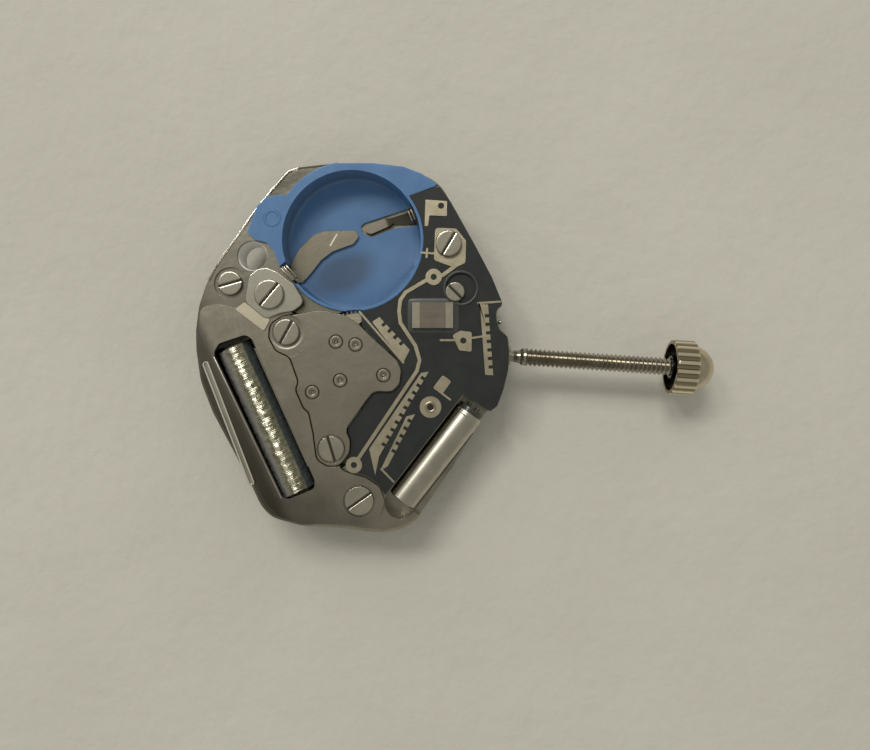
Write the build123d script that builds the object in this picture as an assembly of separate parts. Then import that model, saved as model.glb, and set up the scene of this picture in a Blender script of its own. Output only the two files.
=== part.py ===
from build123d import *
import os
from math import atan2, cos, degrees, hypot, pi, radians, sin, tan

# Quartz watch movement, seen from the battery side. Millimetres, +Z away from the dial.
# The origin is the hand axis on the dial face, and the setting stem points along +X.

# Whole plate
plate_width = 15.4
plate_length = 18.0
dial_recess = 0.20
motion_depth = 0.45
web_thickness = 0.20
train_height = 1.13
overrun = 1.0

# Levels from the dial face up
web_bottom = dial_recess + motion_depth
web_top = web_bottom + web_thickness
plate_top = web_top + train_height

# Thin parts laid on the plate
spacer_thickness = 0.05
board_thickness = 0.15
track_thickness = 0.04
bridge_thickness = 0.35
bridge_gap = 0.05
cover_gap = 0.15
cover_thickness = 0.20
contact_thickness = 0.16
tab_thickness = 0.08
board_bottom = plate_top + spacer_thickness
board_top = board_bottom + board_thickness
bridge_bottom = plate_top + bridge_gap
bridge_top = bridge_bottom + bridge_thickness
cover_bottom = plate_top + cover_gap
cover_top = cover_bottom + cover_thickness
edge_break = 0.03
plate_edge_break = 0.14
bridge_side_gap = 0.04
step_radius = 1.05
step_depth = 0.06
step_reach = 0.20
plate_corner = 2.55
bridge_corner = 0.50
small_corner = 0.38

# Fits
running_clearance = 0.03
pocket_clearance = 0.08
fit_clearance = 0.02
board_gap = 0.12

# Battery well and its plastic shell
well_radius = 3.42
well_wall = 0.14
well_corner = 0.20
wing_corner = 0.10
contact_corner = 0.24
well_floor = 0.15
well_pocket_bottom = 0.25
shell_rim_height = 0.20
wing_thickness = 0.30
well_edge_gap = 0.396
flange_radius = 3.85
notch_depth = 0.42
notch_side = 0.12

# Screws
large_head_radius = 0.72
bridge_head_radius = 0.64
small_head_radius = 0.48
edge_head_radius = 0.60
head_height = 0.20
head_rim_break = 0.03
slot_width = 0.13
slot_depth = 0.09
shank_radius = 0.28
shank_length = 1.60
short_shank_length = 0.80
screw_recess = 0.10
recess_margin = 0.07
edge_recess_radius = 0.80
board_recess_radius = 0.78
contact_slot_angle = 54
cover_slot_angle = 39
upper_slot_angle = 65
lower_slot_angle = -69
pad_slot_angle = 63
board_slot_angle = -41
edge_slot_angle = 20

# Train
wheel_thickness = 0.10
pinion_length = 0.22
arbor_radius = 0.10
pivot_radius = 0.06
pivot_length = 0.16
rotor_teeth = 10
intermediate_teeth = 48
intermediate_pinion_teeth = 8
seconds_teeth = 50
seconds_pinion_teeth = 6
third_teeth = 90
third_pinion_teeth = 12
centre_teeth = 48
centre_wheel_lift = 0.06
magnet_lift = 0.06
intermediate_lift = 0.40
third_lift = 0.60
seconds_lift = 0.86
stop_lever_lift = 1.03
magnet_radius = 0.55
magnet_height = 0.28
bush_radius = 0.30
bush_groove = 0.05
bush_groove_depth = 0.07
bush_sink_radius = 0.16
bush_sink_depth = 0.06

# Dial-side cover and its screws
dial_cover_thickness = 0.09
dial_head_radius = 0.34
dial_head_height = 0.09
dial_shank_radius = 0.18
dial_shank_length = 0.40
dial_slot_angle = 30

# Hand posts and motion work
seconds_post_radius = 0.10
seconds_post_reach = 1.25
centre_tube_radius = 0.20
minute_post_radius = 0.35
minute_post_reach = 0.90
hour_post_radius = 0.60
hour_post_reach = 0.50
cannon_teeth = 12
minute_teeth = 36
minute_pinion_teeth = 10
hour_teeth = 40
hour_wheel_lift = 0.13
minute_wheel_lift = 0.26
minute_arm = 1.60
minute_angle = -22.0
setting_wheel_teeth = 14
setting_angle = 13.0

# Motor
coil_radius = 0.92
coil_length = 8.10
coil_end_round = 0.16
terminal_length = 2.60
terminal_width = 0.70
core_width = 0.90
core_thickness = 0.20
core_overhang = 0.45
core_lug_width = 1.10
stator_width = 2.00
stator_thickness = 0.18
stator_lift = 0.10
stator_bore_gap = 0.12
stator_notch_width = 0.16

# Setting stem, crown and keyless work
stem_height = 1.0
stem_radius = 0.45
stem_neck_radius = 0.27
stem_square = 0.36
stem_pilot_radius = 0.15
stem_pilot_length = 0.75
stem_groove_width = 0.34
stem_groove_radius = 0.24
thread_pitch = 0.225
thread_depth = 0.11
thread_turns = 36
crown_radius = 1.40
crown_length = 1.12
crown_wall = 0.22
crown_hollow = 0.55
crown_tube_radius = 0.58
crown_flutes = 20
crown_flute_radius = 0.13
crown_shoulder_radius = 1.12
crown_shoulder_length = 0.16
crown_dome_height = 0.88
clutch_radius = 0.48
clutch_length = 0.95
clutch_groove_width = 0.44
clutch_groove_radius = 0.34
clutch_teeth = 12
clutch_tooth = 0.095
keyless_thickness = 0.15
keyless_lift = 0.06
keyless_pocket_half = 1.35
keyless_roof = 0.34
setting_lever_arm = 0.95
yoke_arm = 1.10
lever_width = 0.50
lever_pin_radius = 0.11
lever_post_radius = 0.16

# How far inward from the plate's edge, or outward past it, the stem's places lie
stem_inner_reach = 4.842
stem_groove_reach = 2.542
stem_shoulder_reach = 2.792
clutch_reach = 3.912
keyless_start_reach = 4.242
keyless_end_reach = 1.592
stem_neck_out = 0.108
stem_thread_out = 0.608
crown_out = 8.228

# Thin springs
spring_thickness = 0.07
spring_width = 0.24
stop_width = 0.24
contact_lift = 0.10
riser_gap = 0.04

# Crystal, chip and capacitor
crystal_radius = 0.76
crystal_length = 5.55
crystal_sink = 0.72
crystal_end_round = 0.08
crystal_base_length = 0.42
crystal_base_share = 0.86
lead_radius = 0.09
lead_spacing = 0.50
capacitor_length = 2.0
capacitor_width = 1.25
capacitor_height = 0.62
capacitor_cap = 0.36
capacitor_sink = 0.40
chip_size = 1.40
chip_height = 0.45

# Dial feet
dial_foot_circle = 14.2
dial_foot_angle = 35.0
dial_foot_radius = 0.28
dial_foot_depth = 0.70

# Through hole by the contact bridge
port_radius = 0.75

# Places on the plate, as shares of its width and its length
hand_axis = (0.0, 0.0)
stop_pivot_share = (-0.063, 0.004)
intermediate_share = (-0.041, -0.100)
rotor_share = (-0.127, -0.137)
third_share = (0.095, -0.078)
well_side_share = -0.038
well_edge_share = 0.499
port_share = (-0.353, 0.225)
contact_screw_share = (-0.282, 0.119)
edge_screw_share = (-0.417, 0.145)
upper_bridge_screw_share = (-0.222, 0.021)
lower_bridge_screw_share = (-0.054, -0.287)
cover_screw_share = (0.045, -0.423)
pad_screw_share = (0.273, 0.292)
board_screw_share = (0.304, 0.163)
board_recess_share = (0.322, 0.174)
coil_top_share = (-0.404, -0.023)
coil_bottom_share = (-0.151, -0.425)
crystal_end_share = (0.179, -0.421)
crystal_lead_share = (0.384, -0.158)
capacitor_share = (0.238, 0.094)
chip_share = (0.095, -0.275)
stop_tip_share = (-0.104, -0.0556)
stop_tail_share = (0.040, 0.040)

# Outlines, as shares of the plate's width and length
plate_shares = [
    (-0.231, 0.476), (-0.160, 0.487), (-0.102, 0.496), (0.016, 0.499), (0.112, 0.497),
    (0.203, 0.472), (0.241, 0.449), (0.271, 0.410), (0.359, 0.296), (0.421, 0.210), (0.455, 0.151),
    (0.460, 0.137), (0.441, 0.118), (0.447, 0.086), (0.458, 0.069), (0.484, 0.052), (0.492, 0.012),
    (0.493, -0.040), (0.483, -0.092), (0.466, -0.143), (0.432, -0.163), (0.337, -0.317),
    (0.231, -0.470), (0.190, -0.496), (0.120, -0.510), (-0.025, -0.505), (-0.135, -0.507),
    (-0.232, -0.490), (-0.270, -0.462), (-0.314, -0.393), (-0.390, -0.288), (-0.447, -0.212),
    (-0.493, -0.127), (-0.514, -0.042), (-0.519, 0.009), (-0.515, 0.075), (-0.498, 0.134),
    (-0.468, 0.194), (-0.402, 0.285), (-0.349, 0.360), (-0.308, 0.409), (-0.258, 0.464),
]
board_shares = [
    (0.232, 0.447), (0.271, 0.407), (0.357, 0.294), (0.418, 0.210), (0.452, 0.151), (0.457, 0.137),
    (0.438, 0.118), (0.444, 0.086), (0.455, 0.066), (0.481, 0.050), (0.489, 0.012), (0.490, -0.040),
    (0.480, -0.092), (0.463, -0.141), (0.442, -0.157), (0.386, -0.130), (0.306, -0.205),
    (0.128, -0.408), (0.104, -0.376), (0.066, -0.356), (0.010, -0.345), (0.000, -0.318),
    (-0.020, -0.300), (-0.020, -0.262), (-0.036, -0.235), (0.024, -0.150), (0.050, -0.108),
    (0.112, -0.106), (0.130, -0.092), (0.132, -0.064), (0.116, -0.038), (0.020, 0.030),
    (0.010, 0.082), (-0.020, 0.104), (0.080, 0.140), (0.150, 0.200), (0.170, 0.330),
    (0.160, 0.385), (0.130, 0.416),
]
bridge_shares = [
    (-0.182, 0.075), (-0.128, 0.086), (-0.102, 0.086), (-0.042, 0.078), (0.006, 0.056), (0.034, 0.034),
    (0.134, -0.034), (0.150, -0.060), (0.148, -0.098), (0.126, -0.121), (0.067, -0.123),
    (0.045, -0.150), (-0.014, -0.233), (0.003, -0.261), (0.004, -0.292), (-0.024, -0.331),
    (-0.064, -0.334), (-0.098, -0.318), (-0.114, -0.249), (-0.133, -0.192), (-0.151, -0.181),
    (-0.180, -0.133), (-0.172, -0.112), (-0.206, -0.045), (-0.252, -0.030), (-0.276, 0.004),
    (-0.274, 0.040), (-0.238, 0.062),
]
cover_shares = [
    (-0.500, 0.076), (-0.440, 0.086), (-0.392, 0.079), (-0.300, 0.080), (-0.205, 0.080),
    (-0.200, 0.050), (-0.240, 0.030), (-0.240, 0.000), (-0.190, -0.030), (-0.150, -0.112),
    (-0.158, -0.134), (-0.130, -0.175), (-0.110, -0.192), (-0.092, -0.250), (-0.080, -0.310),
    (-0.055, -0.322), (-0.030, -0.325), (-0.016, -0.346),
    (0.060, -0.360), (0.106, -0.382), (0.126, -0.420), (0.112, -0.468), (0.070, -0.491),
    (-0.027, -0.492), (-0.134, -0.499), (-0.207, -0.483), (-0.252, -0.448), (-0.346, -0.307),
    (-0.391, -0.210), (-0.464, -0.114), (-0.489, -0.074), (-0.505, 0.009),
]
window_shares = [
    (-0.435, -0.022), (-0.352, 0.007), (-0.329, -0.004), (-0.101, -0.375), (-0.099, -0.399),
    (-0.194, -0.438), (-0.450, -0.050),
]
groove_shares = [(-0.484, -0.078), (-0.470, -0.071), (-0.289, -0.392), (-0.295, -0.404), (-0.301, -0.404)]
contact_shares = [
    (-0.359, 0.095), (-0.351, 0.167), (-0.325, 0.187), (-0.297, 0.192), (-0.261, 0.182),
    (-0.207, 0.152), (-0.169, 0.104), (-0.204, 0.079), (-0.245, 0.070), (-0.290, 0.052),
]
tab_shares = [(-0.362, 0.094), (-0.276, 0.052), (-0.293, 0.020), (-0.389, 0.074)]
corner_pad_shares = [(0.190, 0.408), (0.259, 0.408), (0.262, 0.367), (0.206, 0.366), (0.204, 0.336),
                     (0.193, 0.336)]
contact_pad_shares = [(0.227, 0.333), (0.294, 0.335), (0.328, 0.304), (0.331, 0.243), (0.298, 0.228),
                      (0.230, 0.245)]
arrow_shares = [(0.305, 0.044), (0.330, 0.058), (0.366, 0.056), (0.370, 0.002), (0.330, 0.004)]
trace_shares = [(0.233, 0.199), (0.212, 0.190), (0.147, 0.152), (0.132, 0.130), (0.130, 0.100),
                (0.137, 0.068), (0.190, 0.008), (0.206, -0.030), (0.200, -0.060), (0.020, -0.328)]
feed_shares = [(0.298, 0.232), (0.262, 0.206), (0.233, 0.199)]
rim_trace_shares = [(0.380, 0.136), (0.450, 0.144)]
rim_bar_shares = [(0.386, 0.134), (0.418, -0.058), (0.444, -0.058), (0.412, 0.134)]
bridge_bar_shares = [(0.047, 0.065), (0.069, 0.080), (0.173, -0.004), (0.155, -0.040)]
bridge_line_shares = [(0.005, 0.090), (0.155, -0.040)]
outer_bar_shares = [(0.214, -0.064), (0.238, -0.060), (0.098, -0.300), (0.090, -0.352), (0.065, -0.282)]
inner_bar_shares = [(0.176, -0.186), (0.204, -0.178), (0.128, -0.325), (0.105, -0.338)]
inner_line_shares = [(0.108, -0.334), (0.150, -0.366)]
small_pad_shares = [(0.254, -0.104), (0.283, -0.066), (0.312, -0.082), (0.286, -0.118)]
small_line_shares = [(0.270, -0.108), (0.312, -0.132)]
ring_pad_share = (0.251, -0.156)
first_via_share = (0.233, 0.199)
last_via_share = (0.020, -0.328)
arrow_hole_share = (0.341, 0.031)
arrow_line_shares = [(0.269, 0.028), (0.320, 0.031), (0.400, 0.046)]
corner_hole_share = (0.241, 0.394)
star_share = (0.206, 0.263)
star_line_shares = [(0.188, 0.263), (0.230, 0.263)]
dial_screw_shares = [(0.150, 0.074), (0.160, -0.100)]
stem_edge_share = 0.493
dial_cover_shares = [(0.105, 0.090), (0.200, 0.105), (0.395, 0.085), (0.415, 0.060), (0.415, -0.085),
                     (0.300, -0.110), (0.120, -0.125), (0.080, -0.095)]

# Outlines of the shell's wings and the cell's springs, as shares of the well's radius from its centre
left_wing_shares = [
    (-1.504, 0.000), (-1.387, 0.384), (-1.250, 0.530), (-1.020, 0.580), (-0.504, 0.279),
    (-0.730, -0.563), (-1.009, -0.458), (-1.108, -0.237), (-1.220, -0.126), (-1.382, -0.100),
]
right_wing_shares = [
    (-0.380, 1.075), (0.243, 1.116), (0.675, 1.095), (0.937, 1.016), (1.202, 0.868), (0.738, 0.658),
    (0.441, 0.489),
]
flange_shares = [(0.00, 0.00), (-1.20, 0.52), (-1.20, 1.20), (-0.30, 1.20)]
negative_shares = [
    (-0.765, -0.657), (-0.969, -0.458), (-0.823, -0.136), (-0.618, 0.098), (-0.469, 0.162),
    (-0.010, 0.209), (0.060, 0.124), (-0.019, 0.007), (-0.317, -0.125), (-0.484, -0.268),
    (-0.604, -0.452),
]
pad_shares = [(0.125, 0.289), (0.489, 0.437), (0.564, 0.343), (0.237, 0.171), (0.144, 0.200)]
tongue_shares = [(0.480, 0.432), (0.797, 0.555), (0.893, 0.372), (0.555, 0.342)]
positive_window_shares = [
    (0.070, 0.280), (0.120, 0.335), (0.480, 0.480), (0.840, 0.630), (0.990, 0.370), (0.590, 0.295),
    (0.235, 0.130), (0.110, 0.180),
]

# Track sizes
trace_width = 0.18
fine_trace_width = 0.10
via_radius = 0.40
ring_pad_radius = 0.53
via_hole_radius = 0.15
comb_tooth_width = 0.16
comb_tooth_pitch = 0.42
comb_tooth_depth = 0.20

# Numbers with no unit
tooth_profile_shares = [(-0.29, -1.10), (-0.13, 0.85), (0.13, 0.85), (0.29, -1.10)]
corner_limit_share = 0.45
straight_corner = 2.0
straight_angle = 180
right_angle = 90
groove_floor_share = 0.6
capacitor_turn = 3.9
wheel_holes = 5
wheel_hole_share = 0.17
wheel_hole_place_share = 0.60


def place(share):
    return (share[0] * plate_width, share[1] * plate_length)


def outline(shares):
    return [place(share) for share in shares]


def distance(first, second):
    return hypot(second[0] - first[0], second[1] - first[1])


def direction(first, second):
    return degrees(atan2(second[1] - first[1], second[0] - first[0]))


def along(start, angle, reach):
    return (start[0] + reach * cos(radians(angle)), start[1] + reach * sin(radians(angle)))


# Places in millimetres
stop_pivot = place(stop_pivot_share)
intermediate_axis = place(intermediate_share)
rotor_axis = place(rotor_share)
third_axis = place(third_share)
well_centre = (well_side_share * plate_width, well_edge_share * plate_length - well_edge_gap - well_radius)
port_centre = place(port_share)
contact_screw = place(contact_screw_share)
edge_screw = place(edge_screw_share)
upper_screw = place(upper_bridge_screw_share)
lower_screw = place(lower_bridge_screw_share)
cover_screw = place(cover_screw_share)
pad_screw = place(pad_screw_share)
board_screw = place(board_screw_share)
board_recess = place(board_recess_share)
coil_top = place(coil_top_share)
coil_bottom = place(coil_bottom_share)
crystal_end = place(crystal_end_share)
crystal_angle = direction(crystal_end, place(crystal_lead_share))
minute_axis = along(hand_axis, minute_angle, minute_arm)
coil_angle = direction(coil_top, coil_bottom)
coil_middle = ((coil_top[0] + coil_bottom[0]) / 2, (coil_top[1] + coil_bottom[1]) / 2)
coil_start = along(coil_middle, coil_angle, -coil_length / 2)
coil_end = along(coil_middle, coil_angle, coil_length / 2)

# Places along the stem
stem_edge = stem_edge_share * plate_width
stem_inner_end = stem_edge - stem_inner_reach
stem_groove_place = stem_edge - stem_groove_reach
stem_shoulder = stem_edge - stem_shoulder_reach
stem_neck_start = stem_edge + stem_neck_out
stem_thread_start = stem_edge + stem_thread_out
crown_start = stem_edge + crown_out
clutch_start = stem_edge - clutch_reach
keyless_pocket_start = stem_edge - keyless_start_reach
keyless_pocket_end = stem_edge - keyless_end_reach


def well_outline(shares):
    return [(well_centre[0] + share[0] * well_radius, well_centre[1] + share[1] * well_radius)
            for share in shares]


def gear_pair(reach, first_teeth, second_teeth):
    """Pitch radii of two gears that mesh at this axis distance."""
    total = first_teeth + second_teeth
    return reach * first_teeth / total, reach * second_teeth / total


def tip_radius(pitch_radius, teeth):
    module = 2 * pitch_radius / teeth
    return pitch_radius + module * max(height for angle, height in tooth_profile_shares)


rotor_pitch, intermediate_pitch = gear_pair(
    distance(rotor_axis, intermediate_axis), rotor_teeth, intermediate_teeth)
intermediate_pinion_pitch, seconds_pitch = gear_pair(
    distance(intermediate_axis, hand_axis), intermediate_pinion_teeth, seconds_teeth)
seconds_pinion_pitch, third_pitch = gear_pair(
    distance(hand_axis, third_axis), seconds_pinion_teeth, third_teeth)
third_pinion_pitch, centre_pitch = gear_pair(
    distance(hand_axis, third_axis), third_pinion_teeth, centre_teeth)
cannon_pitch, minute_pitch = gear_pair(minute_arm, cannon_teeth, minute_teeth)
minute_pinion_pitch, hour_pitch = gear_pair(minute_arm, minute_pinion_teeth, hour_teeth)
setting_pitch = minute_pitch * setting_wheel_teeth / minute_teeth
setting_axis = along(minute_axis, setting_angle, minute_pitch + setting_pitch)

intermediate_tip = tip_radius(intermediate_pitch, intermediate_teeth)
seconds_tip = tip_radius(seconds_pitch, seconds_teeth)
third_tip = tip_radius(third_pitch, third_teeth)
centre_tip = tip_radius(centre_pitch, centre_teeth)
minute_tip = tip_radius(minute_pitch, minute_teeth)
hour_tip = tip_radius(hour_pitch, hour_teeth)
setting_tip = tip_radius(setting_pitch, setting_wheel_teeth)


def rounded_face(points, radius):
    """Flat face whose corners are rounded, each within its own shorter side."""
    corners = [Vector(x, y) for x, y in points]
    stops = []
    for index, corner in enumerate(corners):
        back = corners[index - 1] - corner
        ahead = corners[(index + 1) % len(corners)] - corner
        inside = back.get_angle(ahead)
        if straight_angle - inside < straight_corner or radius == 0:
            stops.append((corner, None, corner))
            continue
        slope = tan(radians(inside / 2))
        setback = min(radius / slope, corner_limit_share * min(back.length, ahead.length))
        inner = setback * slope
        bisector = (back.normalized() + ahead.normalized()).normalized()
        middle = corner + bisector * (inner / sin(radians(inside / 2)) - inner)
        first = corner + back.normalized() * setback
        last = corner + ahead.normalized() * setback
        stops.append((first, middle, last))
    edges = []
    for index, (first, middle, last) in enumerate(stops):
        if middle is not None:
            edges.append(Edge.make_three_point_arc(first, middle, last))
        edges.append(Edge.make_line(last, stops[(index + 1) % len(stops)][0]))
    return Face(Wire(edges))


def raise_face(face, low, high):
    return extrude(Pos(0, 0, low) * face, amount=high - low, dir=(0, 0, 1))


def slab(points, radius, low, high):
    return raise_face(rounded_face(points, radius), low, high)


def disc(centre, radius, low, high):
    return Pos(centre[0], centre[1], (low + high) / 2) * Cylinder(radius, high - low)


def tube(centre, outer, inner, low, high):
    return disc(centre, outer, low, high) - disc(centre, inner, low - overrun, high + overrun)


def beam(middle, angle, length, width, low, high):
    return Pos(middle[0], middle[1], (low + high) / 2) * Rot(0, 0, angle) * Box(length, width, high - low)


def bar(first, last, width, low, high):
    """Straight bar with round ends between two places."""
    middle = ((first[0] + last[0]) / 2, (first[1] + last[1]) / 2)
    straight = beam(middle, direction(first, last), distance(first, last), width, low, high)
    ends = [disc(first, width / 2, low, high), disc(last, width / 2, low, high)]
    return straight + ends[0] + ends[1]


def line_of_bars(points, width, low, high):
    parts = [bar(a, b, width, low, high) for a, b in zip(points, points[1:])]
    whole = parts[0]
    for part in parts[1:]:
        whole += part
    return whole


def x_rod(start, end, radius, height):
    """Round rod along the stem's axis direction."""
    return Pos((start + end) / 2, 0, height) * Rot(0, 90, 0) * Cylinder(radius, end - start)


def break_top(part, size):
    top = part.bounding_box().max.Z
    edges = part.edges().filter_by(lambda e: abs(e.center().Z - top) < size / 10)
    return chamfer(edges, size)


def gear(centre, teeth, pitch_radius, low, high, bore, toward=None, gap=False):
    """Toothed disc. A tooth, or a gap, points at the place named by toward."""
    module = 2 * pitch_radius / teeth
    step = 2 * pi / teeth
    first = 0 if toward is None else radians(direction(centre, toward))
    if gap:
        first += step / 2
    points = []
    for tooth in range(teeth):
        for turn, height in tooth_profile_shares:
            angle = first + step * (tooth + turn)
            reach = pitch_radius + module * height
            points.append((centre[0] + reach * cos(angle), centre[1] + reach * sin(angle)))
    part = slab(points, 0, low, high)
    if bore > 0:
        part -= disc(centre, bore, low - overrun, high + overrun)
    return part


def pierced_wheel(centre, teeth, pitch_radius, low, bore, toward, gap):
    """Thin wheel with round lightening holes."""
    high = low + wheel_thickness
    part = gear(centre, teeth, pitch_radius, low, high, bore, toward, gap)
    for hole in range(wheel_holes):
        spot = along(centre, 360 / wheel_holes * hole, pitch_radius * wheel_hole_place_share)
        part -= disc(spot, pitch_radius * wheel_hole_share, low - overrun, high + overrun)
    return part


def screw(centre, head_radius, seat, shank_reach, slot_angle):
    """Slotted cheese-head screw that stands on its seat."""
    head = disc(centre, head_radius, seat, seat + head_height)
    head = break_top(head, head_rim_break)
    slot = Pos(centre[0], centre[1], seat + head_height) * Rot(0, 0, slot_angle)
    head -= slot * Box(2 * head_radius + overrun, slot_width, 2 * slot_depth)
    return head + disc(centre, shank_radius, seat - shank_reach, seat)


def screw_hole(centre, seat, depth, clearance):
    return disc(centre, shank_radius + clearance, seat - depth, seat + overrun)


# Places of the parts that the plate has to clear
stator_bottom = web_top + stator_lift
stator_top = stator_bottom + stator_thickness
core_bottom = stator_top
core_top = core_bottom + core_thickness
coil_height = (core_bottom + core_top) / 2
magnet_bottom = web_top + magnet_lift
shell_top = cover_bottom
crystal_height = plate_top + spacer_thickness + board_thickness - crystal_sink
crystal_lead_end = along(crystal_end, crystal_angle, crystal_length)
contact_bottom = cover_top
contact_low = well_pocket_bottom + well_floor + contact_lift
keyless_low = dial_recess + keyless_lift
keyless_high = keyless_low + keyless_thickness
setting_lever_pivot = (stem_groove_place, -setting_lever_arm)
yoke_tip_place = clutch_start + clutch_length / 2
yoke_pivot = (yoke_tip_place, yoke_arm)
dial_feet = [along(hand_axis, dial_foot_angle + 180 * side, dial_foot_circle / 2) for side in range(2)]


def train_pocket():
    """Room above the web for the wheels, the stator and the core's lugs."""
    low = web_top
    high = plate_top + overrun
    room = disc(hand_axis, max(seconds_tip, centre_tip) + pocket_clearance, low, high)
    room += disc(intermediate_axis, intermediate_tip + pocket_clearance, low, high)
    room += disc(third_axis, third_tip + pocket_clearance, low, high)
    room += bar(upper_screw, lower_screw, stator_width + 2 * pocket_clearance, low, high)
    for end, post in lug_ends():
        room += bar(end, post, core_lug_width + 2 * pocket_clearance, low, high)
    return room


def lug_ends():
    """Where each end of the core meets the lug that runs to its screw."""
    first = along(coil_start, coil_angle, -core_overhang)
    last = along(coil_end, coil_angle, core_overhang)
    return [(first, upper_screw), (last, lower_screw)]


def main_plate():
    body = break_top(slab(outline(plate_shares), plate_corner, 0, plate_top), plate_edge_break)
    shell_room = well_radius + well_wall + fit_clearance
    body -= disc(well_centre, shell_room, well_pocket_bottom, plate_top + overrun)
    body -= train_pocket()
    coil_room = coil_radius + pocket_clearance
    first, last = [end for end, post in lug_ends()]
    body -= bar(first, last, 2 * coil_room, coil_height - coil_room, plate_top + overrun)
    slot_start = along(crystal_end, crystal_angle, -pocket_clearance)
    slot_end = along(crystal_lead_end, crystal_angle, crystal_base_length)
    crystal_room = crystal_radius + running_clearance
    body -= bar(slot_start, slot_end, 2 * crystal_room, crystal_height - crystal_room, plate_top + overrun)
    middle = along(crystal_end, crystal_angle, crystal_length / 2)
    side = along(middle, crystal_angle - right_angle, crystal_radius)
    body -= beam(side, crystal_angle, crystal_length, 2 * crystal_radius, crystal_height, plate_top + overrun)
    body -= shell_wings(plate_top - wing_thickness, plate_top + overrun, 0, flange_radius + fit_clearance)
    body -= contact_notch(plate_top + overrun)
    body -= disc(port_centre, port_radius, -overrun, plate_top + overrun)
    chip_room = chip_size + 2 * pocket_clearance
    chip_low = board_bottom - chip_height - pocket_clearance
    chip_place = place(chip_share)
    body -= Pos(chip_place[0], chip_place[1], (chip_low + plate_top + overrun) / 2) * Box(
        chip_room, chip_room, plate_top + overrun - chip_low)
    capacitor_room_low = board_top - capacitor_sink - pocket_clearance
    body -= capacitor_block(capacitor_length + 2 * pocket_clearance, capacitor_width + 2 * pocket_clearance,
                            capacitor_room_low, plate_top + overrun, 0)
    body = cut_dial_side(body)
    body = cut_keyless_room(body)
    for post in (upper_screw, lower_screw):
        body += disc(post, core_lug_width / 2, web_top, stator_bottom)
    for centre in (upper_screw, lower_screw):
        body -= screw_hole(centre, plate_top, plate_top - web_bottom + overrun, fit_clearance)
    for centre in (contact_screw, cover_screw, pad_screw, board_screw, edge_screw):
        body -= screw_hole(centre, plate_top, shank_length, fit_clearance)
    body -= disc(edge_screw, edge_recess_radius, plate_top - screw_recess, plate_top + overrun)
    for axis in (rotor_axis, intermediate_axis, third_axis):
        body -= disc(axis, pivot_radius + running_clearance, web_bottom - overrun, web_top + overrun)
    return body


def capacitor_block(length, width, low, high, shift):
    """Block at the capacitor's place and turn, moved along its length."""
    spot = along(place(capacitor_share), capacitor_turn, shift)
    block = Box(length, width, high - low)
    return Pos(spot[0], spot[1], (low + high) / 2) * Rot(0, 0, capacitor_turn) * block


def cut_dial_side(body):
    """Recesses for the motion work, its cover and the dial's feet."""
    body -= slab(outline(dial_cover_shares), small_corner, -overrun, dial_recess)
    for spot in outline(dial_screw_shares):
        body -= disc(spot, dial_shank_radius + fit_clearance, 0, dial_recess + dial_shank_length)
    body -= disc(hand_axis, hour_tip + pocket_clearance, -overrun, web_bottom)
    body -= disc(minute_axis, minute_tip + pocket_clearance, -overrun, web_bottom)
    body -= disc(setting_axis, setting_tip + pocket_clearance, -overrun, web_bottom)
    body -= disc(hand_axis, centre_tube_radius + running_clearance, -overrun, plate_top)
    for foot in dial_feet:
        body -= disc(foot, dial_foot_radius, -overrun, dial_foot_depth)
    body += disc(minute_axis, arbor_radius, dial_recess - dial_cover_thickness, web_bottom)
    body += disc(setting_axis, arbor_radius, dial_recess - dial_cover_thickness, web_bottom)
    return body


def cut_keyless_room(body):
    """Room for the clutch, its levers and the stem."""
    length = keyless_pocket_end - keyless_pocket_start
    high = plate_top - keyless_roof
    middle = (keyless_pocket_start + keyless_pocket_end) / 2
    body -= Pos(middle, 0, (high - overrun) / 2) * Box(
        length, 2 * keyless_pocket_half, high + overrun)
    body -= x_rod(keyless_pocket_start, plate_width, stem_radius + running_clearance, stem_height)
    body -= x_rod(0, keyless_pocket_end, stem_pilot_radius + running_clearance, stem_height)
    for pivot in (setting_lever_pivot, yoke_pivot):
        body += disc(pivot, lever_post_radius, keyless_low - keyless_lift, high)
    return body


def dial_side_cover():
    """Thin plate over the keyless work, let into the dial face."""
    low = dial_recess - dial_cover_thickness
    cover = slab(outline(dial_cover_shares), small_corner, low, dial_recess)
    cover -= disc(hand_axis, hour_tip + pocket_clearance, -overrun, overrun)
    for pivot in (minute_axis, setting_axis):
        cover -= disc(pivot, arbor_radius + running_clearance, -overrun, overrun)
    for spot in outline(dial_screw_shares):
        cover -= disc(spot, dial_shank_radius + fit_clearance, -overrun, overrun)
    centre_x = (keyless_pocket_start + keyless_pocket_end) / 2
    return cover - disc((centre_x, 0), clutch_radius, -overrun, overrun)


def dial_screws():
    """Two flat screws whose heads stay below the dial face."""
    seat = dial_recess - dial_cover_thickness
    screws = []
    for spot in outline(dial_screw_shares):
        head = disc(spot, dial_head_radius, seat - dial_head_height, seat)
        slot = Pos(spot[0], spot[1], seat - dial_head_height) * Rot(0, 0, dial_slot_angle)
        head -= slot * Box(2 * dial_head_radius + overrun, slot_width, dial_head_height)
        screws.append(head + disc(spot, dial_shank_radius, seat, seat + dial_shank_length))
    return Compound(screws)


def shell_wings(low, high, corner, flange):
    """The two wings and the flange between them, which key the shell to the plate."""
    wings = slab(well_outline(left_wing_shares), corner, low, high)
    wings += slab(well_outline(right_wing_shares), corner, low, high)
    sector = slab(well_outline(flange_shares), 0, low, high)
    return wings + (disc(well_centre, flange, low, high) & sector)


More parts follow.
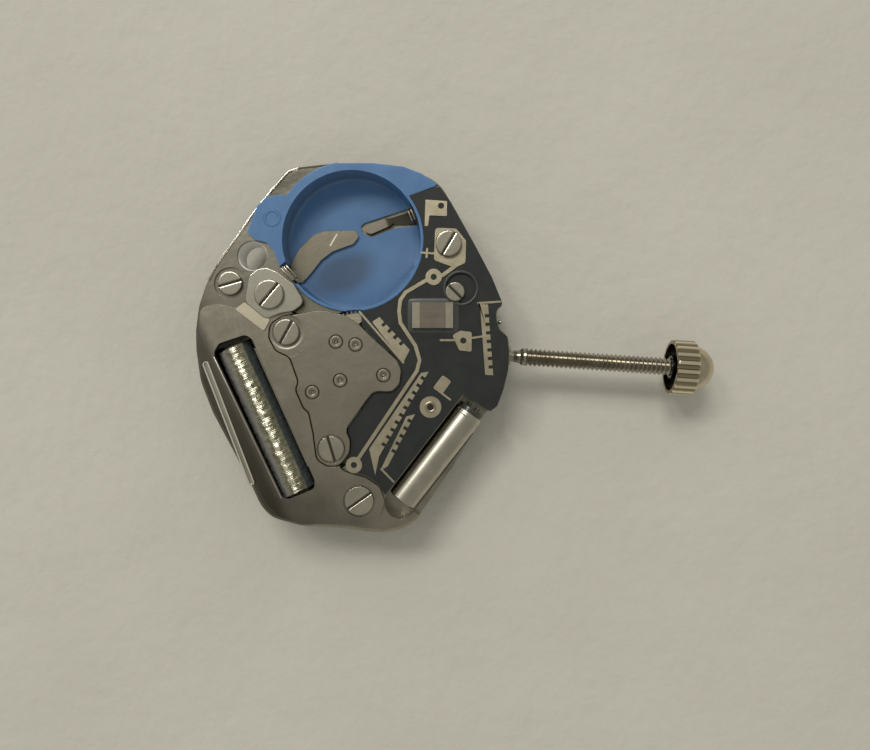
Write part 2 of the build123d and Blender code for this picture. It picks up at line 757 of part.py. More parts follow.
def contact_notch(high):
    """Room in the well's wall for the upright end of the negative spring."""
    first, last = well_outline(negative_shares)[:2]
    middle = ((first[0] + last[0]) / 2, (first[1] + last[1]) / 2)
    inset = notch_depth / 2 - spring_thickness / 2 - riser_gap
    spot = along(middle, direction(middle, well_centre), inset)
    low = well_pocket_bottom + well_floor
    return Pos(spot[0], spot[1], (low + high) / 2) * Rot(0, 0, direction(first, last)) * Box(
        distance(first, last) + 2 * notch_side, notch_depth, high - low)


def well_room(low, high):
    """The cell's room, rounded where its wall meets its floor."""
    room = disc(well_centre, well_radius, low, high)
    return fillet(room.edges().sort_by(Axis.Z)[0], well_corner)


def battery_insulator():
    """Plastic shell that holds the cell."""
    outer = well_radius + well_wall
    low = well_pocket_bottom
    shell = disc(well_centre, outer, low, shell_top)
    shell += shell_wings(plate_top - wing_thickness + fit_clearance, shell_top, wing_corner, flange_radius)
    shell -= well_room(low + well_floor, shell_top + overrun)
    shell -= disc(hand_axis, seconds_tip + running_clearance, low - overrun, shell_top + overrun)
    shell -= disc(port_centre, port_radius + fit_clearance, low - overrun, shell_top + overrun)
    shell -= contact_notch(shell_top + overrun)
    window = well_outline(positive_window_shares)
    return shell - slab(window, 0, low - overrun, shell_top - shell_rim_height)


def riser(first, last, low, high):
    """Upright wall of a bent spring between two places."""
    angle = direction(first, last)
    middle = ((first[0] + last[0]) / 2, (first[1] + last[1]) / 2, (low + high) / 2)
    return Pos(*middle) * Rot(0, 0, angle) * Box(
        distance(first, last) - wing_corner, spring_thickness, high - low)


def negative_contact():
    """Flat spring on the floor of the well, with the riser that joins it to its clamp plate."""
    strip = slab(well_outline(negative_shares), contact_corner, contact_low, contact_low + spring_thickness)
    first, last = well_outline(negative_shares)[:2]
    return strip + riser(first, last, contact_low, contact_bottom)


def positive_contact():
    """Tongue that reaches through the shell's window to the side of the cell."""
    low = well_pocket_bottom + fit_clearance
    pad = slab(well_outline(pad_shares), contact_corner, contact_low, contact_low + spring_thickness)
    tongue = slab(well_outline(tongue_shares), 0, low, low + spring_thickness)
    step = riser(*well_outline(pad_shares)[1:3], low, contact_low + spring_thickness)
    tab = riser(*well_outline(tongue_shares)[1:3], low, shell_top - shell_rim_height - fit_clearance)
    return pad + step + tongue + tab


def bridge_room(low, high):
    """The bridge's outline with a thin gap all round, which its neighbours keep clear of."""
    face = offset(rounded_face(outline(bridge_shares), bridge_corner), amount=bridge_side_gap)
    return raise_face(face, low, high)


def train_bridge():
    body = slab(outline(bridge_shares), bridge_corner, bridge_bottom, bridge_top)
    body = break_top(body, edge_break)
    shell_room = well_radius + well_wall + fit_clearance
    body -= disc(well_centre, shell_room, bridge_bottom - overrun, bridge_top + overrun)
    for post in (upper_screw, lower_screw):
        body += disc(post, core_lug_width / 2, core_top, bridge_bottom)
    for centre in (upper_screw, lower_screw):
        body -= screw_hole(centre, bridge_top, plate_top, fit_clearance)
        seat = bridge_top - screw_recess
        body -= disc(centre, bridge_head_radius + recess_margin, seat, bridge_top + overrun)
    step = along(upper_screw, -right_angle, step_reach)
    body -= disc(step, step_radius, bridge_top - step_depth, bridge_top + overrun)
    for axis in bush_axes():
        body -= disc(axis, bush_radius, bridge_bottom - overrun, bridge_top + overrun)
        ring = bush_radius + bush_groove
        body -= disc(axis, ring, bridge_top - bush_groove_depth, bridge_top + overrun)
    return body


def bush_axes():
    return [hand_axis, stop_pivot, intermediate_axis, rotor_axis, third_axis]


def bridge_bushes():
    """Pressed bearings, each with an oil sink, one for each arbor."""
    bushes = []
    for axis in bush_axes():
        part = tube(axis, bush_radius, pivot_radius + running_clearance, bridge_bottom, bridge_top)
        part -= disc(axis, bush_sink_radius, bridge_top - bush_sink_depth, bridge_top + overrun)
        bushes.append(part)
    return Compound(bushes)


def coil_cover():
    body = slab(outline(cover_shares), bridge_corner, cover_bottom, cover_top)
    body -= bridge_room(cover_bottom - overrun, cover_top + overrun)
    body = break_top(body, edge_break)
    body -= slab(outline(window_shares), small_corner, cover_bottom - overrun, cover_top + overrun)
    groove_floor = cover_top - cover_thickness * groove_floor_share
    body -= slab(outline(groove_shares), trace_width / 2, groove_floor, cover_top + overrun)
    ring = large_head_radius + recess_margin
    body -= disc(cover_screw, ring, cover_top - screw_recess, cover_top + overrun)
    body -= screw_hole(cover_screw, cover_top, plate_top, fit_clearance)
    return body


def contact_bridge():
    """Clamp plate that ties the negative spring to the movement."""
    body = slab(outline(contact_shares), small_corner, contact_bottom, contact_bottom + contact_thickness)
    body = break_top(body, edge_break)
    body += disc(contact_screw, core_lug_width / 2, plate_top, contact_bottom)
    body -= screw_hole(contact_screw, contact_bottom + contact_thickness, plate_top, fit_clearance)
    return body


def ground_tab():
    """Bright tab that presses on the cover beside the clamp plate."""
    tab = slab(outline(tab_shares), tab_thickness, cover_top, cover_top + tab_thickness)
    return tab - slab(outline(contact_shares), small_corner, cover_top - overrun, cover_top + overrun)


def board_blank(low, high):
    blank = slab(outline(board_shares), board_gap, low, high)
    blank -= disc(well_centre, well_radius + well_wall + fit_clearance, low - overrun, high + overrun)
    blank -= bridge_room(low - overrun, high + overrun)
    slot_length = crystal_length + crystal_base_length + crystal_radius
    slot_middle = along(crystal_end, crystal_angle, slot_length / 2 - crystal_radius + pocket_clearance)
    width = 2 * (crystal_radius + pocket_clearance)
    blank -= beam(slot_middle, crystal_angle, slot_length, width, low - overrun, high + overrun)
    blank -= capacitor_block(capacitor_length + fit_clearance, capacitor_width + fit_clearance,
                             low - overrun, high + overrun, 0)
    blank -= slab(well_outline(right_wing_shares), wing_corner, low - overrun, high + overrun)
    for spot in (pad_screw, board_screw):
        blank -= disc(spot, shank_radius + fit_clearance, low - overrun, high + overrun)
    return blank


def circuit_board():
    board = board_blank(board_bottom, board_top)
    return board - disc(board_recess, board_recess_radius, board_top - screw_recess, board_top + overrun)


def circuit_spacer():
    return board_blank(plate_top, board_bottom)


def comb(points, side):
    """Bar with a row of teeth cut into one long side, as on a generic test pad."""
    low = board_top
    high = board_top + track_thickness
    body = slab(points, 0, low, high)
    start, end = points[side], points[(side + 1) % len(points)]
    angle = direction(start, end)
    count = int(distance(start, end) / comb_tooth_pitch)
    for tooth in range(1, count):
        spot = along(start, angle, tooth * comb_tooth_pitch)
        body -= Pos(spot[0], spot[1], high) * Rot(0, 0, angle) * Box(
            comb_tooth_width, 2 * comb_tooth_depth, 2 * (high - low))
    return body


def board_tracks():
    """Gilt pads and traces that lie on the board."""
    low = board_top
    high = board_top + track_thickness
    first_via = place(first_via_share)
    long_trace = line_of_bars(outline(trace_shares), trace_width, low, high)
    long_trace += line_of_bars(outline(feed_shares), trace_width, low, high)
    long_trace += slab(outline(contact_pad_shares), trace_width, low, high)
    long_trace += line_of_bars(outline(star_line_shares), fine_trace_width, low, high)
    star = place(star_share)
    long_trace += bar((star[0], star[1] - via_radius / 2), (star[0], star[1] + via_radius / 2),
                      fine_trace_width, low, high)
    for via_share in (first_via_share, last_via_share):
        long_trace += disc(place(via_share), via_radius, low, high)
    for via_share in (first_via_share, last_via_share):
        long_trace -= disc(place(via_share), via_hole_radius, low - overrun, high + overrun)
    long_trace -= disc(pad_screw, shank_radius + fit_clearance, low - overrun, high + overrun)
    corner_pad = slab(outline(corner_pad_shares), fine_trace_width / 2, low, high)
    corner_pad -= disc(place(corner_hole_share), via_hole_radius, low - overrun, high + overrun)
    rim_comb = comb(outline(rim_bar_shares), 2)
    rim_comb += bar(place(rim_trace_shares[0]), place(rim_trace_shares[1]), fine_trace_width, low, high)
    rim_comb += line_of_bars(outline(arrow_line_shares), fine_trace_width, low, high)
    rim_comb += slab(outline(arrow_shares), fine_trace_width, low, high)
    rim_comb -= disc(place(arrow_hole_share), via_hole_radius, low - overrun, high + overrun)
    bridge_comb = comb(outline(bridge_bar_shares), 1)
    bridge_comb += line_of_bars(outline(bridge_line_shares), fine_trace_width, low, high)
    outer_comb = comb(outline(outer_bar_shares), 1)
    inner_comb = comb(outline(inner_bar_shares), 1)
    inner_comb += line_of_bars(outline(inner_line_shares), fine_trace_width, low, high)
    small_pad = slab(outline(small_pad_shares), fine_trace_width, low, high)
    small_pad += line_of_bars(outline(small_line_shares), fine_trace_width, low, high)
    ring_pad = tube(place(ring_pad_share), ring_pad_radius, ring_pad_radius / 2, low, high)
    return Compound([long_trace, corner_pad, rim_comb, bridge_comb, outer_comb, inner_comb,
                     small_pad, ring_pad])


def crystal_frame():
    return Pos(crystal_end[0], crystal_end[1], crystal_height) * Rot(0, 0, crystal_angle) * Rot(0, 90, 0)


def quartz_crystal():
    can = Pos(0, 0, crystal_length / 2) * Cylinder(crystal_radius, crystal_length)
    can = fillet(can.edges(), crystal_end_round)
    return crystal_frame() * can


def crystal_leads():
    """Glass base of the can with its two wires."""
    base = Pos(0, 0, crystal_length + crystal_base_length / 4) * Cylinder(
        crystal_radius * crystal_base_share, crystal_base_length / 2)
    parts = base
    for side in (-1, 1):
        wire = Pos(0, side * lead_spacing / 2, crystal_length + crystal_base_length / 2) * Cylinder(
            lead_radius, crystal_base_length)
        parts += wire
    return crystal_frame() * parts


def chip_capacitor():
    low = board_top - capacitor_sink
    body_length = capacitor_length - 2 * capacitor_cap
    return capacitor_block(body_length, capacitor_width, low, low + capacitor_height, 0)


def capacitor_caps():
    low = board_top - capacitor_sink
    shift = (capacitor_length - capacitor_cap) / 2
    caps = [capacitor_block(capacitor_cap, capacitor_width, low, low + capacitor_height, side * shift)
            for side in (-1, 1)]
    return Compound(caps)


def circuit_chip():
    centre = place(chip_share)
    return Pos(centre[0], centre[1], board_bottom - spacer_thickness - chip_height / 2) * Box(
        chip_size, chip_size, chip_height)


def coil_frame():
    return Pos(coil_start[0], coil_start[1], coil_height) * Rot(0, 0, coil_angle) * Rot(0, 90, 0)


def coil_winding():
    winding = Pos(0, 0, coil_length / 2) * Cylinder(coil_radius, coil_length)
    winding = fillet(winding.edges(), coil_end_round)
    hole = Box(core_thickness, core_width, 2 * coil_length + overrun)
    return coil_frame() * (winding - Pos(0, 0, coil_length / 2) * hole)


def coil_core():
    """Flat iron core with a lug at each end that reaches its screw."""
    first, last = [end for end, post in lug_ends()]
    core = bar(first, last, core_width, core_bottom, core_top)
    for end, post in lug_ends():
        core += bar(end, post, core_lug_width, core_bottom, core_top)
    winding_room = coil_frame() * Pos(0, 0, coil_length / 2) * Cylinder(
        coil_radius + fit_clearance, coil_length + fit_clearance)
    centre_bar = bar(coil_start, coil_end, core_width, core_bottom, core_top)
    core = (core - winding_room) + centre_bar
    for post in (upper_screw, lower_screw):
        core -= screw_hole(post, core_top, core_top, fit_clearance)
    return core


def coil_terminals():
    """Small board that lies across the coil's room and takes the winding's two ends."""
    spot = along(coil_start, coil_angle, -terminal_width / 2 - pocket_clearance)
    return Pos(spot[0], spot[1], plate_top + spacer_thickness / 2) * Rot(0, 0, coil_angle) * Box(
        terminal_width, terminal_length, spacer_thickness)


def stator():
    body = bar(upper_screw, lower_screw, core_lug_width, stator_bottom, stator_top)
    body += disc(rotor_axis, stator_width / 2, stator_bottom, stator_top)
    body -= disc(rotor_axis, magnet_radius + stator_bore_gap, stator_bottom - overrun, stator_top + overrun)
    angle = direction(upper_screw, lower_screw)
    for side in (-1, 1):
        notch = along(rotor_axis, angle + 90 * side, stator_width / 2)
        body -= disc(notch, stator_notch_width, stator_bottom - overrun, stator_top + overrun)
    for post in (upper_screw, lower_screw):
        body -= screw_hole(post, stator_top, stator_top, fit_clearance)
    return body


def arbor(axis, low, high):
    """Plain arbor with a thin pivot at each end."""
    part = disc(axis, arbor_radius, low, high)
    part += disc(axis, pivot_radius, low - pivot_length, low)
    return part + disc(axis, pivot_radius, high, bridge_top - bush_sink_depth)


arbor_low = web_top + fit_clearance
arbor_high = bridge_bottom - fit_clearance


def rotor_magnet():
    return tube(rotor_axis, magnet_radius, arbor_radius, magnet_bottom, magnet_bottom + magnet_height)


def rotor_pinion():
    low = web_top + intermediate_lift - (pinion_length - wheel_thickness) / 2
    teeth = gear(rotor_axis, rotor_teeth, rotor_pitch, low, low + pinion_length, 0, intermediate_axis)
    return teeth + arbor(rotor_axis, arbor_low, arbor_high)


def intermediate_wheel():
    wheel = pierced_wheel(intermediate_axis, intermediate_teeth, intermediate_pitch,
                          web_top + intermediate_lift, 0, rotor_axis, True)
    low = web_top + seconds_lift - (pinion_length - wheel_thickness) / 2
    pinion = gear(intermediate_axis, intermediate_pinion_teeth, intermediate_pinion_pitch,
                  low, low + pinion_length, 0, hand_axis)
    return wheel + pinion + arbor(intermediate_axis, arbor_low, arbor_high)


def seconds_wheel():
    """Seconds wheel, its pinion and the long arbor that carries the seconds hand."""
    wheel = pierced_wheel(hand_axis, seconds_teeth, seconds_pitch,
                          web_top + seconds_lift, 0, intermediate_axis, True)
    low = web_top + third_lift - (pinion_length - wheel_thickness) / 2
    pinion = gear(hand_axis, seconds_pinion_teeth, seconds_pinion_pitch, low, low + pinion_length, 0,
                  third_axis)
    long_arbor = disc(hand_axis, seconds_post_radius, -seconds_post_reach, arbor_high)
    long_arbor += disc(hand_axis, pivot_radius, arbor_high, bridge_top - bush_sink_depth)
    return wheel + pinion + long_arbor


def third_wheel():
    wheel = pierced_wheel(third_axis, third_teeth, third_pitch, web_top + third_lift, 0, hand_axis, True)
    low = web_top + centre_wheel_lift - fit_clearance
    pinion = gear(third_axis, third_pinion_teeth, third_pinion_pitch, low, low + pinion_length, 0,
                  hand_axis)
    return wheel + pinion + arbor(third_axis, arbor_low, arbor_high)


def centre_wheel():
    """Centre wheel with the tube that drives the cannon pinion."""
    low = web_top + centre_wheel_lift
    inner = seconds_post_radius + running_clearance
    wheel = pierced_wheel(hand_axis, centre_teeth, centre_pitch, low, inner, third_axis, True)
    return wheel + tube(hand_axis, centre_tube_radius, inner, dial_recess, low + wheel_thickness)


def cannon_pinion():
    low = dial_recess + minute_wheel_lift - fit_clearance
    inner = centre_tube_radius
    pipe = disc(hand_axis, minute_post_radius, -minute_post_reach, low)
    teeth = gear(hand_axis, cannon_teeth, cannon_pitch, low, low + wheel_thickness + fit_clearance, 0,
                 minute_axis)
    whole = pipe + teeth
    whole -= disc(hand_axis, inner, dial_recess, web_top)
    return whole - disc(hand_axis, seconds_post_radius + running_clearance, -seconds_post_reach, overrun)


def minute_wheel():
    low = dial_recess + minute_wheel_lift
    bore = arbor_radius + running_clearance
    wheel = gear(minute_axis, minute_teeth, minute_pitch, low, low + wheel_thickness, bore,
                 hand_axis, True)
    pinion_low = dial_recess + fit_clearance
    pinion = gear(minute_axis, minute_pinion_teeth, minute_pinion_pitch, pinion_low, low, bore, hand_axis)
    return wheel + pinion


def hour_wheel():
    low = dial_recess + hour_wheel_lift - wheel_thickness / 2
    inner = minute_post_radius + running_clearance
    wheel = gear(hand_axis, hour_teeth, hour_pitch, low, low + wheel_thickness, inner, minute_axis, True)
    return wheel + tube(hand_axis, hour_post_radius, inner, -hour_post_reach, low)


def setting_wheel():
    low = dial_recess + minute_wheel_lift
    bore = arbor_radius + running_clearance
    return gear(setting_axis, setting_wheel_teeth, setting_pitch, low, low + wheel_thickness, bore,
                minute_axis)


def revolve_x(profile):
    """Turned part from a list of places along X and radii, on the stem's axis."""
    points = [(profile[0][0], 0)] + profile + [(profile[-1][0], 0)]
    edges = [Edge.make_line(Vector(*a), Vector(*b)) for a, b in zip(points, points[1:])]
    edges.append(Edge.make_line(Vector(*points[-1]), Vector(*points[0])))
    return Pos(0, 0, stem_height) * revolve(Face(Wire(edges)), Axis.X, 360)


def setting_stem():
    """Turned stem: pilot, clutch square, lever groove, bearing, neck and thread."""
    square_end = stem_shoulder
    groove_low = stem_groove_place - stem_groove_width / 2
    groove_high = stem_groove_place + stem_groove_width / 2
    profile = [
        (square_end, stem_radius), (groove_low, stem_radius), (groove_low, stem_groove_radius),
        (groove_high, stem_groove_radius), (groove_high, stem_radius),
        (stem_neck_start, stem_radius), (stem_neck_start, stem_neck_radius),
        (stem_thread_start, stem_neck_radius),
    ]
    for turn in range(thread_turns):
        start = stem_thread_start + turn * thread_pitch
        profile.append((start, stem_radius - thread_depth))
        profile.append((start + thread_pitch / 2, stem_radius))
    thread_end = stem_thread_start + thread_turns * thread_pitch
    profile.append((thread_end, stem_radius - thread_depth))
    body = revolve_x(profile)
    square = Pos((stem_inner_end + square_end) / 2, 0, stem_height) * Box(
        square_end - stem_inner_end, stem_square, stem_square)
    pilot_end = stem_inner_end + stem_pilot_length
    square &= x_rod(pilot_end, square_end, stem_square, stem_height)
    return body + square + x_rod(stem_inner_end, pilot_end, stem_pilot_radius, stem_height)


def crown_dome(base):
    """Low dome on the outer end, a slice of a ball."""
    ball = (crown_shoulder_radius ** 2 + crown_dome_height ** 2) / (2 * crown_dome_height)
    centre = base + crown_dome_height - ball
    half_turn = atan2(crown_shoulder_radius, base - centre) / 2
    foot = Vector(base, crown_shoulder_radius)
    middle = Vector(centre + ball * cos(half_turn), ball * sin(half_turn))
    tip = Vector(base + crown_dome_height, 0)
    edges = [Edge.make_line(Vector(base, 0), foot), Edge.make_three_point_arc(foot, middle, tip),
             Edge.make_line(tip, Vector(base, 0))]
    return Pos(0, 0, stem_height) * revolve(Face(Wire(edges)), Axis.X, 360)


def crown():
    """Fluted crown with a hollow back, a threaded tube inside and a low dome."""
    thread_end = stem_thread_start + thread_turns * thread_pitch
    barrel_end = crown_start + crown_length
    shoulder_end = barrel_end + crown_shoulder_length
    body = x_rod(crown_start, barrel_end, crown_radius, stem_height)
    body = chamfer(body.edges().filter_by(GeomType.CIRCLE), crown_flute_radius / 2)
    body += x_rod(barrel_end, shoulder_end, crown_shoulder_radius, stem_height)
    body += crown_dome(shoulder_end)
    for flute in range(crown_flutes):
        turn = 360 / crown_flutes * flute
        cutter = x_rod(crown_start - overrun, barrel_end, crown_flute_radius, crown_radius)
        body -= Pos(0, 0, stem_height) * Rot(turn, 0, 0) * cutter
    hollow = x_rod(crown_start - overrun, crown_start + crown_hollow, crown_radius - crown_wall, stem_height)
    tube_part = x_rod(crown_start - overrun, barrel_end, crown_tube_radius, stem_height)
    body -= hollow - tube_part
    bore_end = max(thread_end, crown_start + crown_hollow)
    return body - x_rod(crown_start - overrun, bore_end, stem_radius, stem_height)


def clutch_pinion():
    end = clutch_start + clutch_length
    middle = clutch_start + clutch_length / 2
    body = x_rod(clutch_start, end, clutch_radius, stem_height)
    groove = x_rod(middle - clutch_groove_width / 2, middle + clutch_groove_width / 2,
                   clutch_radius + overrun, stem_height)
    groove -= x_rod(clutch_start, end, clutch_groove_radius, stem_height)
    body -= groove
    for index in range(clutch_teeth):
        turn = 360 / clutch_teeth * index
        notch = Pos(clutch_start, 0, clutch_radius) * Box(2 * clutch_tooth, clutch_tooth, clutch_radius)
        body -= Pos(0, 0, stem_height) * Rot(turn, 0, 0) * notch
    side = stem_square + 2 * fit_clearance
    return body - Pos(middle, 0, stem_height) * Box(clutch_length + overrun, side, side)


def lever_with_pin(pivot, tip, pin_top):
    """Flat lever on a post, whose pin reaches into a groove."""
    body = bar(pivot, tip, lever_width, keyless_low, keyless_high)
    body += disc(tip, lever_pin_radius, keyless_low, pin_top)
    hole = lever_post_radius + running_clearance
    return body - disc(pivot, hole, keyless_low - overrun, keyless_high + overrun)


def setting_lever():
    tip = (stem_groove_place, 0)
    top = stem_height - stem_groove_radius - running_clearance
    return lever_with_pin(setting_lever_pivot, tip, top)


def yoke():
    tip = (yoke_tip_place, 0)
    top = stem_height - clutch_groove_radius - running_clearance
    return lever_with_pin(yoke_pivot, tip, top)


def jumper_spring():
    """Flat spring on the end wall of its room, that holds the setting lever in its two places."""
    low = keyless_high + fit_clearance
    wall = keyless_pocket_end - spring_width / 2
    start = (wall, keyless_pocket_half - spring_width / 2)
    knee = (wall, keyless_pocket_half - lever_width)
    tip = (stem_groove_place + lever_width, -lever_width)
    return line_of_bars([start, knee, tip], spring_width, low, low + spring_thickness)


def stop_lever():
    """Small lever under the bridge whose pin can hold the seconds wheel."""
    low = web_top + stop_lever_lift
    high = low + spring_thickness
    tip = place(stop_tip_share)
    body = line_of_bars([tip, stop_pivot, place(stop_tail_share)], stop_width, low, high)
    body -= disc(hand_axis, arbor_radius + pocket_clearance, low - overrun, high + overrun)
    body += disc(tip, pivot_radius, web_top + seconds_lift, high)
    body += disc(stop_pivot, pivot_radius, high, bridge_top - bush_sink_depth)
    return body


def clamp_screws():
    """The two large screws: one on the contact clamp, one on the cover."""
    return Compound([
        screw(contact_screw, large_head_radius, contact_bottom + contact_thickness, shank_length,
              contact_slot_angle),
        screw(cover_screw, large_head_radius, cover_top - screw_recess, shank_length, cover_slot_angle),
    ])


def bridge_screws():
    seat = bridge_top - screw_recess
    reach = seat - web_bottom
    return Compound([
        screw(upper_screw, bridge_head_radius, seat, reach, upper_slot_angle),
        screw(lower_screw, bridge_head_radius, seat, reach, lower_slot_angle),
    ])


def small_screws():
    return Compound([
        screw(pad_screw, bridge_head_radius, board_top + track_thickness, short_shank_length, pad_slot_angle),
        screw(board_screw, small_head_radius, board_top - screw_recess, short_shank_length, board_slot_angle),
        screw(edge_screw, edge_head_radius, plate_top - screw_recess, short_shank_length, edge_slot_angle),
    ])


nodes = {
    "main_plate": main_plate,
    "dial_side_cover": dial_side_cover,
    "dial_screws": dial_screws,
    "battery_insulator": battery_insulator,
    "negative_contact": negative_contact,
    "positive_contact": positive_contact,
    "train_bridge": train_bridge,
    "bridge_bushes": bridge_bushes,
    "coil_cover": coil_cover,
    "contact_bridge": contact_bridge,
    "ground_tab": ground_tab,
    "circuit_board": circuit_board,
    "circuit_spacer": circuit_spacer,
    "board_tracks": board_tracks,
    "quartz_crystal": quartz_crystal,
    "crystal_leads": crystal_leads,
    "chip_capacitor": chip_capacitor,
    "capacitor_caps": capacitor_caps,
    "circuit_chip": circuit_chip,
    "coil_winding": coil_winding,
    "coil_core": coil_core,
    "coil_terminals": coil_terminals,
    "stator": stator,
    "rotor_magnet": rotor_magnet,
    "rotor_pinion": rotor_pinion,
    "intermediate_wheel": intermediate_wheel,
    "seconds_wheel": seconds_wheel,
    "third_wheel": third_wheel,
    "centre_wheel": centre_wheel,
    "cannon_pinion": cannon_pinion,
    "minute_wheel": minute_wheel,
    "hour_wheel": hour_wheel,
    "setting_wheel": setting_wheel,
    "setting_stem": setting_stem,
    "crown": crown,
    "clutch_pinion": clutch_pinion,
    "setting_lever": setting_lever,
    "yoke": yoke,
    "jumper_spring": jumper_spring,
    "stop_lever": stop_lever,
    "clamp_screws": clamp_screws,
    "bridge_screws": bridge_screws,
    "small_screws": small_screws,
}

os.makedirs("parts", exist_ok=True)
for name, make in nodes.items():
    export_step(make(), "parts/" + name + ".step")
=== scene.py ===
import math
import bpy
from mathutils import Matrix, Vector


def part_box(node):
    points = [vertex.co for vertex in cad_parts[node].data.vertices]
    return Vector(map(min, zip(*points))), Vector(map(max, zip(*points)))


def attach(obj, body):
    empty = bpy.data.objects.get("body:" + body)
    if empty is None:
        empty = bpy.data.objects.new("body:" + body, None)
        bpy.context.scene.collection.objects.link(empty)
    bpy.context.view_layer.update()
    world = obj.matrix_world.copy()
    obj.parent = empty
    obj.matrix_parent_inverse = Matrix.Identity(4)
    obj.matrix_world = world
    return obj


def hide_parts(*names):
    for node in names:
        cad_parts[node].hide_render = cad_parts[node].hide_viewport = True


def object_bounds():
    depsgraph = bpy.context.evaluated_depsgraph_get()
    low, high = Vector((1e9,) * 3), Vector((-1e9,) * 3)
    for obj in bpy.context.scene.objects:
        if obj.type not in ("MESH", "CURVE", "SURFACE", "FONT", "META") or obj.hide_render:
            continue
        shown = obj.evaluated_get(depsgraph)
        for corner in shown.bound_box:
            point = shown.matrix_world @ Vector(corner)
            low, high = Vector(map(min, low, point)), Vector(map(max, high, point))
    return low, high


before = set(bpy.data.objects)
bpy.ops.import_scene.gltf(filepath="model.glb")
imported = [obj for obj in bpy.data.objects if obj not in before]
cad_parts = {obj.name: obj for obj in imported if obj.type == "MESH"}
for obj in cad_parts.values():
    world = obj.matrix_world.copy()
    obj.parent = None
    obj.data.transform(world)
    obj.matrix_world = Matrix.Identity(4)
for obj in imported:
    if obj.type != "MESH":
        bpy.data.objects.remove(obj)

cad_low, cad_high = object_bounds()

# Lengths are written in millimetres, and the scene is in metres
MM = 0.001
PLATE_WIDTH, PLATE_LENGTH = 15.4, 18.0
# The capacitor and the picture's edges are turned by this much in the frame
TURN = math.radians(3.9)
# The body that carries every piece that stands still
BODY = "movement"


# Shader maths

class Flow:
    """One output of a shader node, so that sums on it read as plain Python."""

    def __init__(self, finish, socket):
        self.finish = finish
        self.socket = socket

    def sum(self, kind, *values):
        return self.finish.add("ShaderNodeMath", {"operation": kind}, dict(enumerate(values)))

    def __add__(self, other):
        return self.sum("ADD", self, other)

    def __sub__(self, other):
        return self.sum("SUBTRACT", self, other)

    def __rsub__(self, other):
        return self.sum("SUBTRACT", other, self)

    def __mul__(self, other):
        return self.sum("MULTIPLY", self, other)

    def __truediv__(self, other):
        return self.sum("DIVIDE", self, other)

    def __pow__(self, other):
        return self.sum("POWER", self, other)

    __radd__ = __add__
    __rmul__ = __mul__

    def least(self, other):
        return self.sum("MINIMUM", self, other)

    def most(self, other):
        return self.sum("MAXIMUM", self, other)

    def size(self):
        return self.sum("ABSOLUTE", self)

    def wave(self):
        return self.sum("SINE", self)

    def between(self, low, high, first=0.0, last=1.0):
        """Goes smoothly from first to last as the value goes from low to high."""
        return self.finish.add("ShaderNodeMapRange", {"interpolation_type": "SMOOTHSTEP", "clamp": True},
                               {0: self, 1: low, 2: high, 3: first, 4: last})


